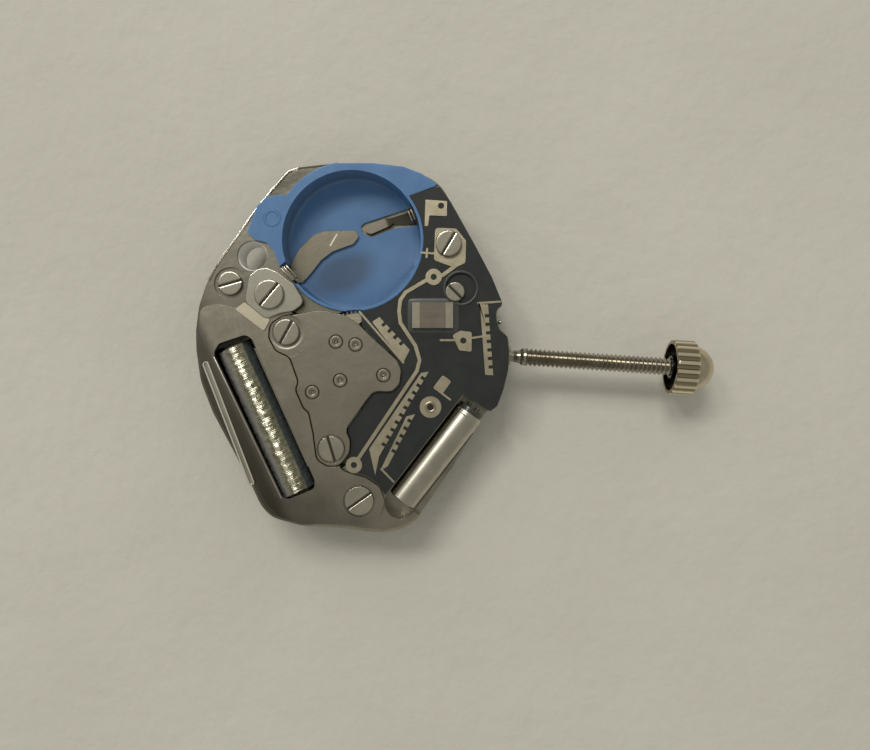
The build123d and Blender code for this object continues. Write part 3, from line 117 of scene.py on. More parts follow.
class Finish:
    """A material for one finish of the movement."""

    def __init__(self, name, **constants):
        self.material = bpy.data.materials.new(name)
        self.material.use_nodes = True
        self.tree = self.material.node_tree
        self.shader = self.tree.nodes["Principled BSDF"]
        for key, value in constants.items():
            self.shader.inputs[key.replace("_", " ")].default_value = value

    def add(self, kind, settings=None, values=None, out=0):
        """Adds a node: its settings first, then the values or links of its sockets."""
        node = self.tree.nodes.new(kind)
        for key, value in (settings or {}).items():
            setattr(node, key, value)
        for key, value in (values or {}).items():
            self.join(value, node.inputs[key])
        return Flow(self, node.outputs[out])

    def join(self, value, socket):
        """Links an output to a socket, or sets the socket to a number, colour or vector."""
        if isinstance(value, Flow):
            self.tree.links.new(value.socket, socket)
        elif isinstance(value, tuple) and len(value) == 3 and socket.type == "RGBA":
            socket.default_value = (*value, 1)
        else:
            socket.default_value = value

    def place(self, centre=(0, 0, 0), turn=0.0, stretch=(1, 1, 1)):
        """Object coordinates in millimetres about a centre, turned about Z and stretched."""
        point = self.add("ShaderNodeTexCoord", out="Object")
        return self.add("ShaderNodeMapping", {"vector_type": "TEXTURE"}, {
            "Vector": point, "Location": tuple(c * MM for c in centre), "Rotation": (0, 0, turn),
            "Scale": tuple(MM * s for s in stretch)})

    def parts(self, vector):
        """The three coordinates of a vector."""
        node = self.add("ShaderNodeSeparateXYZ", values={0: vector}).socket.node
        return [Flow(self, node.outputs[i]) for i in range(3)]

    def radius(self, centre):
        """Distance in the plate's plane from a centre, in millimetres."""
        x, y = self.parts(self.place((*centre, 0)))[:2]
        return (x * x + y * y) ** 0.5

    def nearest(self, centres):
        """Distance in the plate's plane from the nearest of some centres."""
        reach = self.radius(centres[0])
        for centre in centres[1:]:
            reach = reach.least(self.radius(centre))
        return reach

    def stroke(self, line, half):
        """Reaches 1 at the border of a straight stroke and is less inside it."""
        middle, length, turn = along(line)
        x, y = self.parts(self.place((*middle, 0), turn))[:2]
        return (y.size() / half).most((x.size() - length / 2) / half + 1)

    def noise(self, vector, scale, detail=4.0, rough=0.55):
        """Soft noise with about scale waves to the millimetre."""
        return self.add("ShaderNodeTexNoise", values={
            "Vector": vector, "Scale": scale, "Detail": detail, "Roughness": rough}, out="Fac")

    def cells(self, vector, scale):
        """Distance from the nearest of some scattered points."""
        return self.add("ShaderNodeTexVoronoi", values={"Vector": vector, "Scale": scale}, out="Distance")

    def mix(self, factor, first, second):
        """Goes from the first colour to the second as the factor goes from 0 to 1."""
        node = self.tree.nodes.new("ShaderNodeMix")
        node.data_type = "RGBA"
        self.join(factor, node.inputs["Factor"])
        for value, socket in zip((first, second), [s for s in node.inputs if s.type == "RGBA"]):
            self.join(value, socket)
        return Flow(self, [s for s in node.outputs if s.type == "RGBA"][0])

    def give(self, colour, roughness, relief, depth, metallic=None):
        """Closes the material. A relief of 1 stands depth metres high."""
        self.join(colour, self.shader.inputs["Base Color"])
        self.join(roughness, self.shader.inputs["Roughness"])
        if metallic is not None:
            self.join(metallic, self.shader.inputs["Metallic"])
        bump = self.add("ShaderNodeBump", values={"Height": relief, "Distance": depth})
        self.join(bump, self.shader.inputs["Normal"])
        return self.material


# Places, in mm

def at(share):
    """A place given in shares of the plate's width and length."""
    return (share[0] * PLATE_WIDTH, share[1] * PLATE_LENGTH)


def along(line):
    """Middle, length and direction of a straight line."""
    (x1, y1), (x2, y2) = line
    return ((x1 + x2) / 2, (y1 + y2) / 2), math.dist(*line), math.atan2(y2 - y1, x2 - x1)


def beside(line, shift):
    """A straight line moved to its left."""
    (x1, y1), (x2, y2) = line
    across = (-(y2 - y1) / math.dist(*line) * shift, (x2 - x1) / math.dist(*line) * shift)
    return tuple((x + across[0], y + across[1]) for x, y in line)


WELL = (-0.585, 5.166)
WELL_RADIUS = 3.42
# Centre of a soft dark patch of painted reflection on the well's floor
DARK_REFLECTION_SPOT = (WELL[0] - 0.50, WELL[1] - 1.50)
# Each screw: its centre, the direction of its slot in degrees and the radius of its head
SCREWS = {
    "contact": (at((-0.282, 0.119)), 54, 0.72), "edge": (at((-0.417, 0.145)), 20, 0.60),
    "upper": (at((-0.222, 0.021)), 65, 0.64), "lower": (at((-0.054, -0.287)), -69, 0.64),
    "cover": (at((0.045, -0.423)), 39, 0.72), "pad": (at((0.273, 0.292)), 63, 0.64),
    "board": (at((0.304, 0.163)), -41, 0.48),
}
# A slot is painted within this reach of the screw's centre
HEAD_REACH = 0.80
SLOT_HALF = 0.065
BUSHES = [(0.0, 0.0), at((-0.063, 0.004)), at((-0.041, -0.100)), at((-0.127, -0.137)), at((0.095, -0.078))]
PORT = (-5.436, 4.05)
WING_MARK = (-4.55, 5.95)
CAPACITOR = at((0.240, 0.094))
SCRATCH = ((-1.83, 5.00), (-1.51, 5.64))
TONGUE_TURN = math.radians(26.7)
COIL_MIDDLE = (-4.273, -4.032)
COIL_TURN = math.atan2(-0.402 * PLATE_LENGTH, 0.253 * PLATE_WIDTH)
CRYSTAL_TURN = math.atan2(0.263 * PLATE_LENGTH, 0.205 * PLATE_WIDTH)
CRYSTAL_END = at((0.179, -0.421))
CRYSTAL_LENGTH = 5.55
STEM_HEIGHT = 1.0
PLATE_TOP = 1.98
BOARD_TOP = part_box("circuit_board")[1].z / MM
COVER_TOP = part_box("coil_cover")[1].z / MM
SHELL_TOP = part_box("battery_insulator")[1].z / MM
CROWN_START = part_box("crown")[0].x / MM
RAIL = (at((-0.4740, -0.0745)), at((-0.2960, -0.4010)))
WINDOW_SIDE = (at((-0.450, -0.050)), at((-0.194, -0.438)))
# Upper left edge of the plate, where a pale stroke of painted highlight and a pale bead run
PLATE_EDGE = [at(share) for share in ((-0.490, 0.150), (-0.466, 0.193), (-0.400, 0.284), (-0.347, 0.359),
                                      (-0.306, 0.408), (-0.256, 0.463), (-0.225, 0.474))]


# Finishes

# Pale colour of the strokes: painted highlights along edges and crests, and real scratches
SCRATCH_AND_HIGHLIGHT = (0.97, 0.93, 0.80)
DIP_RIM, DIP_SLOPE = 0.12, 6.0


def shade(colour, share):
    """A colour made darker."""
    return tuple(share * c for c in colour)


def satin_metal(name, pale, deep, roughness, grain_turn=0.0, stain=0.5, grain=1.0, painted_shade=(), dent=10.0,
                rings=None, strokes=None, dips=()):
    """Plated sheet with a fine brushed grain, slow waves, cloudy tarnish and small marks, and where given
    painted shade and pale strokes.

    painted_shade: places where painted shade darkens it (centre, direction in degrees, first and last
    distance, depth).
    rings: dark rings (centres, radius, width). strokes: pale strokes, painted highlights along edges and
    crests and real scratches (lines, half their width, slope of their sides, lowest height). dips: round
    dips whose rims slope (centre, radius)."""
    f = Finish(name, Metallic=1.0)
    cloud = f.noise(f.place(), 0.55, 5.0, 0.6)
    fine = f.noise(f.place(), 9.0, 3.0, 0.6)
    brush = f.noise(f.place(turn=grain_turn, stretch=(0.9, 0.05, 0.3)), 1.0, 2.0, 0.5)
    marks = f.cells(f.place(), 2.3).between(0.02, 0.09, 1.0, 0.0)
    waves = f.noise(f.place(), 0.75, 3.0, 0.5)
    tone = f.mix(cloud.between(0.35, 0.70), pale, deep)
    tone = f.mix(fine.between(0.55, 0.80, 0.0, stain * 0.5), tone, shade(deep, 0.55))
    tone = f.mix(marks * (stain * 0.35), tone, shade(deep, 0.35))
    # Painted shade, darkening towards each given direction
    for centre, turn, first, last, depth in painted_shade:
        way = f.parts(f.place((*centre, 0), math.radians(turn)))[0]
        tone = f.mix(way.between(first, last, 0.0, depth), tone, shade(deep, 0.16))
    if rings:
        centres, radius, width = rings
        ring = (f.nearest(centres) - radius).size()
        tone = f.mix(ring.between(width * 0.4, width, 0.70, 0.0), tone, shade(deep, 0.14))
    relief = brush * 0.5 * grain + fine * 0.3 + waves * dent
    if strokes:
        lines, half, slope, lowest = strokes
        border = f.stroke(lines[0], half)
        for line in lines[1:]:
            border = border.least(f.stroke(line, half))
        sharpness = 40.0
        below = lowest - f.parts(f.place())[2]
        border = border.most(below * sharpness + 1.0)
        # Pale strokes: painted highlights along edges and crests, and real scratches
        tone = f.mix(border.between(0.6, 1.0, 0.92, 0.0), tone, SCRATCH_AND_HIGHLIGHT)
        relief = relief + border.between(0.0, 1.0) * slope
    for centre, radius in dips:
        relief = relief + f.radius(centre).between(radius, radius + DIP_RIM) * DIP_SLOPE
    rough = roughness + 0.12 * (cloud - 0.5) + 0.08 * (brush - 0.5)
    return f.give(tone, rough, relief, 0.000002)


def turned_metal(name, pale, deep, roughness, centres, ring):
    """Metal with fine turning rings about each of some centres."""
    f = Finish(name, Metallic=1.0)
    rings = (f.nearest(centres) * ring + f.noise(f.place(), 2.0, 2.0) * 3.0).wave()
    cloud = f.noise(f.place(), 1.6, 4.0, 0.6)
    tone = f.mix(cloud.between(0.30, 0.72), pale, deep)
    rough = roughness + 0.12 * (cloud - 0.5) + 0.02 * rings
    return f.give(tone, rough, rings * 0.4 + f.noise(f.place(), 14.0, 2.0) * 0.4, 0.0000012)


def slotted_metal(name, pale, deep, roughness):
    """Screw steel with a straight grain on each head, painted shade on the floor of each slot and round the
    rim of each head, and sloped edges.
    """
    f = Finish(name, Metallic=1.0)
    grain_turn = 1.05
    slot = rim = None
    for centre, angle, radius in SCREWS.values():
        x, y = f.parts(f.place((*centre, 0), math.radians(angle)))[:2]
        reach = (x * x + y * y) ** 0.5
        inside = y.size().most(reach - HEAD_REACH + SLOT_HALF)
        slot = inside if slot is None else slot.least(inside)
        rim = reach - radius if rim is None else rim.least(reach - radius)
    cloud = f.noise(f.place(), 1.6, 4.0, 0.6)
    grain = f.noise(f.place(turn=grain_turn, stretch=(1.2, 0.06, 0.3)), 1.0, 3.0, 0.6)
    tone = f.mix(cloud.between(0.30, 0.72), pale, deep)
    tone = f.mix(grain.between(0.50, 0.78, 0.0, 0.5), tone, shade(deep, 0.6))
    # Painted shade on the floor of each slot
    tone = f.mix(slot.between(SLOT_HALF * 0.75, SLOT_HALF, 1.0, 0.0), tone, shade(deep, 0.22))
    # Painted shade in a thin ring just inside the rim of each head
    tone = f.mix(rim.between(-0.040, -0.015, 0.0, 0.75), tone, shade(deep, 0.20))
    rough = roughness + 0.14 * (cloud - 0.5) + 0.10 * (grain - 0.5)
    slot_slope = slot.between(SLOT_HALF - 0.01, SLOT_HALF + 0.05) * 5.0
    rim_slope = rim.between(-0.09, -0.02, 1.0, 0.0) * 2.5
    return f.give(tone, rough, grain + (slot_slope + rim_slope), 0.0000025)


def polished_metal(name, pale, deep, roughness, gloss=0.0):
    """Smooth metal with a faint cloud of tarnish, under a clear coat where gloss is given."""
    f = Finish(name, Metallic=1.0, Coat_Weight=gloss, Coat_Roughness=0.10)
    cloud = f.noise(f.place(), 1.3, 4.0, 0.6)
    fine = f.noise(f.place(), 12.0, 2.0, 0.6)
    tone = f.mix(cloud.between(0.30, 0.75), pale, deep)
    return f.give(tone, roughness + 0.10 * (cloud - 0.5), fine, 0.0000015)


def moulded_blue():
    """Satin blue plastic, slightly mottled.

    The floor of the well has a soft dark patch of painted reflection, its far side painted light in a
    greyer, lighter wall and a brighter strip of floor, and the wing a small ring."""
    f = Finish("moulded_blue", Specular_IOR_Level=0.50, Subsurface_Weight=0.35, Subsurface_Scale=0.0009,
               Subsurface_Radius=(0.5, 0.7, 1.0))
    cloud = f.noise(f.place(), 0.8, 4.0, 0.6)
    fine = f.noise(f.place(), 16.0, 2.0, 0.6)
    x, y = f.parts(f.place((*DARK_REFLECTION_SPOT, 0), math.radians(30), (2.10, 1.25, 1)))[:2]
    reflection_edge = (x * x + y * y) ** 0.5 + 0.5 * (cloud - 0.5)
    tone = f.mix(cloud.between(0.30, 0.75), (0.062, 0.168, 0.345), (0.052, 0.142, 0.297))
    foot = 3.34
    reach = f.radius(WELL)
    far_side = f.parts(f.place((*WELL, 0), math.radians(140)))[0].between(0.0, 2.0)
    below_rim = f.parts(f.place())[2].between(SHELL_TOP - 0.10, SHELL_TOP - 0.05, 1.0, 0.0)
    within = reach.between(WELL_RADIUS + 0.03, WELL_RADIUS + 0.08, 1.0, 0.0)
    wall = reach.between(foot - 0.10, foot) * within * below_rim
    floor_painted_light = reach.between(2.2, 3.2) * reach.between(foot, WELL_RADIUS, 1.0, 0.0) * far_side
    # Painted light: a brighter strip of floor on the well's far side
    tone = f.mix(floor_painted_light * 0.8, tone, (0.080, 0.205, 0.410))
    # Painted reflection: a soft dark patch on the well's floor
    tone = f.mix(reflection_edge.between(0.40, 1.10, 0.85, 0.0), tone, (0.027, 0.066, 0.128))
    # Painted light: the far side's wall greyer and lighter than its shade
    tone = f.mix(wall * far_side * 0.7, tone, (0.115, 0.185, 0.285))
    rough = 0.46 + 0.14 * (cloud - 0.5) + 0.10 * (fine - 0.5)
    from_mark = f.radius(WING_MARK)
    ring = from_mark.between(0.26, 0.34) - from_mark.between(0.38, 0.46)
    return f.give(tone, rough, fine * 0.06 + ring * 0.5, 0.00006)


def board_lacquer():
    """Near-black lacquer with pale specks."""
    f = Finish("board_lacquer", Specular_IOR_Level=0.28)
    cloud = f.noise(f.place(), 1.1, 4.0, 0.6)
    fine = f.noise(f.place(), 22.0, 3.0, 0.7)
    tone = f.mix(cloud.between(0.3, 0.75), (0.022, 0.025, 0.022), (0.015, 0.017, 0.016))
    tone = f.mix(fine.between(0.52, 0.72, 0.0, 0.30), tone, (0.045, 0.046, 0.040))
    return f.give(tone, 0.42 + 0.2 * (fine - 0.5), fine * 0.6 + cloud * 0.4, 0.000008)


def gilt_film():
    """Dull gilt of the board's tracks, a little speckled."""
    f = Finish("gilt_film", Metallic=0.85)
    cloud = f.noise(f.place(), 1.4, 5.0, 0.6)
    fine = f.noise(f.place(), 26.0, 3.0, 0.7)
    tone = f.mix(cloud.between(0.30, 0.72), (0.42, 0.38, 0.275), (0.335, 0.295, 0.205))
    tone = f.mix(fine.between(0.56, 0.80, 0.0, 0.4), tone, (0.22, 0.19, 0.13))
    return f.give(tone, 0.40 + 0.2 * (fine - 0.5), fine, 0.000008)


def fired_body():
    """Brown ceramic with fine layers along its length."""
    f = Finish("fired_body", Coat_Weight=0.25, Coat_Roughness=0.25)
    cloud = f.noise(f.place(), 1.5, 3.0, 0.6)
    layer = f.noise(f.place(turn=TURN, stretch=(3.0, 0.10, 0.08)), 1.0, 2.0)
    tone = f.mix(cloud.between(0.3, 0.7), (0.132, 0.106, 0.076), (0.104, 0.082, 0.058))
    tone = f.mix(layer.between(0.50, 0.72, 0.0, 0.5), tone, (0.175, 0.145, 0.108))
    return f.give(tone, 0.45 + 0.2 * (cloud - 0.5), layer, 0.000006)


def cast_resin(name, first, second, roughness):
    """Resin, glass or ceramic in two close tones, under a thin clear coat."""
    f = Finish(name, Coat_Weight=0.2, Coat_Roughness=0.2)
    cloud = f.noise(f.place(), 2.0, 3.0, 0.6)
    tone = f.mix(cloud.between(0.3, 0.7), first, second)
    return f.give(tone, roughness + 0.15 * (cloud - 0.5), f.noise(f.place(), 18.0, 2.0), 0.000006)


def lacquered_wire():
    """Fine olive lacquered wire, with one ragged painted highlight along it, painted light in a dull grey on
    the left and on both sides, and painted shade in slate on the right.
    """
    f = Finish("lacquered_wire", Metallic=1.0)
    strand = f.noise(f.place(turn=COIL_TURN, stretch=(0.10, 0.45, 0.45)), 1.0, 4.0, 0.7)
    clump = f.noise(f.place(), 3.2, 3.0, 0.6)
    cloud = f.noise(f.place(), 0.9, 3.0)
    across = f.parts(f.place((*COIL_MIDDLE, 0), COIL_TURN))[1]
    distance_to_highlight = (across - 0.01 + 0.36 * (clump - 0.5) + 0.28 * (strand - 0.5)).size()
    painted_highlight = distance_to_highlight.between(0.08, 0.14, 1.0, 0.0)
    tone = f.mix(strand.between(0.30, 0.70), (0.400, 0.385, 0.270), (0.240, 0.235, 0.165))
    # Painted light: a dull grey lifts the left side
    tone = f.mix(across.between(-0.50, -0.20, 0.85, 0.0), tone, (0.240, 0.225, 0.225))
    tone = f.mix(cloud.between(0.4, 0.8, 0.0, 0.3), tone, (0.12, 0.115, 0.10))
    # Painted highlight: a ragged pale streak along the wire
    tone = f.mix(painted_highlight, tone, (0.90, 0.86, 0.68))
    side = (across - 0.10).size()
    # Painted light: a dull grey lifts both sides
    tone = f.mix(side.between(0.45, 0.75), tone, (0.190, 0.188, 0.165))
    # Painted shade: dark slate along the right side
    tone = f.mix(across.between(0.48, 0.60), tone, (0.062, 0.075, 0.072))
    metal = side.between(0.25, 0.60, 1.0, 0.05)
    return f.give(tone, 0.28 + 0.16 * (strand - 0.5), strand * 0.8 + clump * 1.2, 0.000022, metal)


def fluted_gold():
    """Pale gold, its ridges painted bright as highlight, the hollows between them painted dull as shade, and
    painted shade in the hollow of its back.
    """
    f = Finish("crown_gold", Metallic=1.0)
    x, y, z = f.parts(f.place((CROWN_START, 0, STEM_HEIGHT)))
    reach = (y * y + z * z) ** 0.5
    cloud = f.noise(f.place(), 1.3, 4.0, 0.6)
    dome = f.mix(cloud.between(0.30, 0.75), (0.66, 0.585, 0.43), (0.52, 0.45, 0.32))
    # Painted highlight on the ridges and painted shade in the hollows between them
    barrel = f.mix(reach.between(1.31, 1.39), (0.36, 0.30, 0.20), (0.86, 0.78, 0.60))
    tone = f.mix(x.between(1.10, 1.16), barrel, dome)
    # Painted shade in the hollow at the crown's back
    tone = f.mix(reach.between(1.17, 1.21).most(x.between(0.54, 0.60)), (0.10, 0.095, 0.085), tone)
    return f.give(tone, 0.24 + 0.10 * (cloud - 0.5), f.noise(f.place(), 12.0, 2.0, 0.6), 0.0000015)


def paper():
    """Pale warm paper with a soft fibre and a few low waves."""
    f = Finish("paper", Specular_IOR_Level=0.2)
    wave = f.noise(f.place(), 0.045, 3.0, 0.6)
    fibre = f.noise(f.place(), 1.4, 5.0, 0.7)
    crinkle = f.noise(f.place(), 0.22, 4.0, 0.6)
    tone = f.mix(wave.between(0.3, 0.7), (0.525, 0.505, 0.435), (0.495, 0.475, 0.405))
    tone = f.mix(fibre.between(0.45, 0.75, 0.0, 0.20), tone, (0.44, 0.42, 0.36))
    relief = fibre * 0.6 + crinkle * 3.0 + wave * 6.0
    return f.give(tone, 0.85 + 0.05 * (fibre - 0.5), relief, 0.00009)


# Painted shade darkens the plate towards its upper left and its lower left; the pale stroke along its upper
# left edge is a painted highlight over a sloped bump
plated = satin_metal("plated_plate", (0.38, 0.355, 0.29), (0.27, 0.255, 0.205), 0.26, 0.5, 0.6,
                     strokes=(list(zip(PLATE_EDGE, PLATE_EDGE[1:])), 0.10, 30.0, PLATE_TOP - 0.05),
                     painted_shade=[((-3.6, 6.6), 118, -0.4, 1.2, 0.62), ((-5.6, -3.2), -152, -1.2, 0.6, 0.70)])
bridge_metal = satin_metal("bridge_steel", (0.37, 0.345, 0.28), (0.30, 0.278, 0.222), 0.31, 0.9, 0.25, 0.6,
                           rings=(BUSHES, 0.33, 0.055), dips=[(SCREWS["upper"][0], 0.74)])
tab_metal = satin_metal("tab_strip", (0.74, 0.67, 0.52), (0.64, 0.58, 0.45), 0.32, 0.6, 0.2, dent=3.0)
# Painted shade darkens the cover towards its lower left, outer side
cover_metal = satin_metal("cover_steel", (0.46, 0.426, 0.35), (0.34, 0.312, 0.25), 0.28, 1.9, 0.5,
                          painted_shade=[((-5.0, -3.0), -118, -1.0, 5.0, 0.70),
                                ((-5.4, -3.4), -152, -0.2, 0.5, 0.72)])
clamp_metal = polished_metal("clamp_steel", (0.66, 0.64, 0.55), (0.50, 0.48, 0.40), 0.25)
strip_metal = satin_metal("spring_strip", (0.36, 0.33, 0.255), (0.31, 0.28, 0.215), 0.26, 0.6, 0.25,
                          dent=3.0, strokes=([SCRATCH], 0.042, 0.0, 0.0))
# Painted shade darkens the positive tongue where it goes down into its window
tongue_metal = satin_metal("tongue_strip", (0.33, 0.30, 0.25), (0.28, 0.255, 0.205), 0.28, 0.6, 0.25,
                           painted_shade=[((1.02, 6.30), 22, -0.12, 0.12, 0.92)], dent=2.0)
bright_steel = polished_metal("bright_steel", (0.60, 0.56, 0.48), (0.46, 0.42, 0.35), 0.20)
screw_steel = slotted_metal("screw_steel", (0.62, 0.585, 0.485), (0.47, 0.445, 0.36), 0.24)
bush_metal = turned_metal("bush_metal", (0.38, 0.35, 0.28), (0.30, 0.275, 0.215), 0.34, BUSHES, 60.0)
wheel_brass = turned_metal("wheel_brass", (0.60, 0.55, 0.43), (0.48, 0.44, 0.34), 0.30, [(0.0, 0.0)], 34.0)
can_metal = polished_metal("can_metal", (0.56, 0.53, 0.445), (0.45, 0.425, 0.35), 0.31, 0.7)
stem_steel = polished_metal("stem_steel", (0.44, 0.41, 0.34), (0.33, 0.305, 0.255), 0.24)
eyelet_metal = polished_metal("eyelet_gold", (0.55, 0.475, 0.335), (0.41, 0.345, 0.24), 0.26)
crown_metal = fluted_gold()
iron = satin_metal("soft_iron", (0.34, 0.31, 0.26), (0.24, 0.22, 0.18), 0.45)
magnet_finish = cast_resin("sintered_magnet", (0.10, 0.10, 0.10), (0.06, 0.06, 0.062), 0.40)
glass_finish = cast_resin("sealing_glass", (0.050, 0.048, 0.040), (0.030, 0.028, 0.024), 0.22)
chip_finish = cast_resin("chip_resin", (0.022, 0.022, 0.023), (0.014, 0.014, 0.015), 0.45)
gel_finish = cast_resin("clear_gel", (0.042, 0.044, 0.040), (0.032, 0.034, 0.031), 0.42)
cap_metal = satin_metal("cap_metal", (0.46, 0.425, 0.335), (0.34, 0.31, 0.24), 0.34, 0.2, 0.8)
blue = moulded_blue()
lacquer = board_lacquer()
# Painted light: the port's sleeve is pale so its shaded wall looks lit
port_lining_painted_light = cast_resin("port_lining_painted_light", (0.86, 0.85, 0.80), (0.78, 0.77, 0.72), 0.55)
# The pale strokes along the rail's two crests are painted highlights
rail_steel = satin_metal("rail_steel", (0.54, 0.52, 0.45), (0.42, 0.40, 0.34), 0.28, COIL_TURN, 0.3,
                         strokes=([beside(RAIL, 0.12), beside(RAIL, -0.12)], 0.055, 0.0, 0.0), dent=3.0)
# Painted highlight: near white steel for the bead along the plate's edge
bead_highlight_steel = polished_metal("bead_highlight_steel", (0.94, 0.92, 0.85), (0.80, 0.78, 0.70), 0.16)
# Painted highlight: paler steel for the lip along the window's side
lip_highlight_steel = polished_metal("lip_highlight_steel", (0.56, 0.54, 0.48), (0.42, 0.40, 0.35), 0.28)
lip_lacquer = cast_resin("lip_lacquer", (0.040, 0.042, 0.038), (0.030, 0.032, 0.029), 0.42)
gilt = gilt_film()
ceramic = fired_body()
wire = lacquered_wire()

NODE_FINISH = {
    "main_plate": plated, "dial_side_cover": cover_metal, "dial_screws": bright_steel,
    "battery_insulator": blue, "negative_contact": strip_metal, "positive_contact": tongue_metal,
    "train_bridge": bridge_metal, "bridge_bushes": bush_metal, "coil_cover": cover_metal,
    "contact_bridge": clamp_metal, "ground_tab": tab_metal, "circuit_board": lacquer,
    "circuit_spacer": chip_finish, "board_tracks": gilt, "quartz_crystal": can_metal,
    "crystal_leads": glass_finish, "chip_capacitor": ceramic, "capacitor_caps": cap_metal,
    "circuit_chip": chip_finish, "coil_winding": wire, "coil_core": iron, "coil_terminals": lacquer,
    "stator": iron, "rotor_magnet": magnet_finish, "rotor_pinion": bright_steel,
    "intermediate_wheel": wheel_brass, "seconds_wheel": wheel_brass, "third_wheel": wheel_brass,
    "centre_wheel": wheel_brass, "cannon_pinion": bright_steel, "minute_wheel": wheel_brass,
    "hour_wheel": wheel_brass, "setting_wheel": bright_steel, "setting_stem": stem_steel,
    "crown": crown_metal, "clutch_pinion": bright_steel, "setting_lever": cover_metal,
    "yoke": cover_metal, "jumper_spring": bright_steel, "stop_lever": cover_metal,
    "clamp_screws": screw_steel, "bridge_screws": screw_steel, "small_screws": screw_steel,
}


def dress(piece, finish):
    """Gives a piece or a node one material."""
    piece.data.materials.clear()
    piece.data.materials.append(finish)


for node_name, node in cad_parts.items():
    dress(node, NODE_FINISH[node_name])


# Modelling by hand

SHARP_EDGE = math.radians(30)
FLAT_SEAM = math.radians(2)
SAME_POINT = 0.0000005


def clear_selection():
    """Leaves edit mode and selects nothing."""
    if bpy.context.object and bpy.context.object.mode != "OBJECT":
        bpy.ops.object.mode_set(mode="OBJECT")
    bpy.ops.object.select_all(action="DESELECT")


def only(piece):
    """Selects one piece and makes it the active one."""
    clear_selection()
    piece.select_set(True)
    bpy.context.view_layer.objects.active = piece


def named(name):
    """Names the piece that was just made."""
    piece = bpy.context.object
    piece.name = piece.data.name = name
    return piece


def pick(piece, keep, kind="FACE"):
    """Selects the piece's faces or edges whose middle passes a test, and opens edit mode."""
    only(piece)
    bpy.ops.object.mode_set(mode="EDIT")
    bpy.ops.mesh.select_mode(type=kind)
    bpy.ops.mesh.select_all(action="DESELECT")
    bpy.ops.object.mode_set(mode="OBJECT")
    mesh = piece.data
    items = mesh.polygons if kind == "FACE" else mesh.edges
    for item in items:
        if kind == "FACE":
            item.select = keep(item.center, item.normal)
        else:
            first, last = (mesh.vertices[i].co for i in item.vertices)
            item.select = keep((first + last) / 2, last - first)
    bpy.ops.object.mode_set(mode="EDIT")


def apply_all(piece):
    """Turns the piece's modifiers into plain mesh."""
    only(piece)
    for modifier in list(piece.modifiers):
        bpy.ops.object.modifier_apply(modifier=modifier.name)


def smooth(piece, angle=60):
    """Shades a piece smoothly, apart from edges sharper than an angle in degrees."""
    only(piece)
    bpy.ops.object.shade_smooth_by_angle(angle=math.radians(angle))


def settle(piece, place, turn=(0, 0, 0)):
    """Puts a finished piece in its place and leaves its object at the origin."""
    only(piece)
    piece.location = tuple(c * MM for c in place)
    piece.rotation_euler = turn
    bpy.ops.object.transform_apply(location=True, rotation=True, scale=True)


def fit_piece(piece, finish, body=BODY, stands_for=None):
    """Gives a piece its material, its body and the node that it stands in for."""
    dress(piece, finish)
    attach(piece, body)
    if stands_for:
        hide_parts(stands_for)


def turned(name, profile, segments):
    """Turned piece, closed at both ends: a circle drawn up and sized step by step along Z.

    The profile lists heights along Z and radii."""
    clear_selection()
    height, radius = profile[0]
    bpy.ops.mesh.primitive_circle_add(vertices=segments, radius=radius * MM, fill_type="NGON",
                                      location=(0, 0, height * MM))
    piece = named(name)
    bpy.ops.object.transform_apply(location=True, rotation=True, scale=True)
    bpy.ops.object.mode_set(mode="EDIT")
    bpy.ops.mesh.select_mode(type="FACE")
    bpy.ops.mesh.select_all(action="SELECT")
    for next_height, next_radius in profile[1:]:
        bpy.ops.mesh.extrude_region_move(
            TRANSFORM_OT_translate={"value": (0, 0, (next_height - height) * MM)})
        ratio = next_radius / radius
        bpy.ops.transform.resize(value=(ratio, ratio, 1), center_override=(0, 0, 0))
        height, radius = next_height, next_radius
    bpy.ops.mesh.select_all(action="SELECT")
    bpy.ops.mesh.normals_make_consistent(inside=False)
    bpy.ops.object.mode_set(mode="OBJECT")
    return piece


def round_edges(piece, width, segments=2):
    """Rounds the sharp edges of a piece and keeps its flat faces flat, so only the edges catch the light."""
    only(piece)
    bpy.ops.object.shade_smooth()
    bevel = piece.modifiers.new("round", "BEVEL")
    bevel.width = width * MM
    bevel.segments = segments
    bevel.limit_method = "ANGLE"
    bevel.angle_limit = SHARP_EDGE
    bevel.use_clamp_overlap = True
    bevel.harden_normals = True
    apply_all(piece)


def rounded_copy(node, name, width, segments):
    """A node's own shape, freed of the node's marks, seams and hard normals, with its edges rounded."""
    only(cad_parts[node])
    bpy.ops.object.duplicate()
    piece = named(name)
    for key in list(piece.keys()):
        del piece[key]
    piece.parent = None
    bpy.ops.mesh.customdata_custom_splitnormals_clear()
    bpy.ops.object.mode_set(mode="EDIT")
    bpy.ops.mesh.select_all(action="SELECT")
    bpy.ops.mesh.remove_doubles(threshold=SAME_POINT)
    bpy.ops.mesh.dissolve_limited(angle_limit=FLAT_SEAM)
    bpy.ops.object.mode_set(mode="OBJECT")
    round_edges(piece, width, segments)
    return piece


def round_node(node, name, width, body=BODY, segments=2):
    """Stands a rounded copy in for a node whose edges catch the light in the photograph."""
    fit_piece(rounded_copy(node, name, width, segments), NODE_FINISH[node], body, node)


def box_piece(name, size, bevel=0.0, segments=3):
    """Box about the origin, with all its edges rounded where a bevel is given."""
    clear_selection()
    bpy.ops.mesh.primitive_cube_add(size=1)
    piece = named(name)
    bpy.ops.object.mode_set(mode="EDIT")
    bpy.ops.mesh.select_all(action="SELECT")
    bpy.ops.transform.resize(value=tuple(s * MM for s in size), center_override=(0, 0, 0))
    if bevel:
        bpy.ops.mesh.bevel(offset=bevel * MM, segments=segments, affect="EDGES")
    bpy.ops.object.mode_set(mode="OBJECT")
    return piece


# The winding

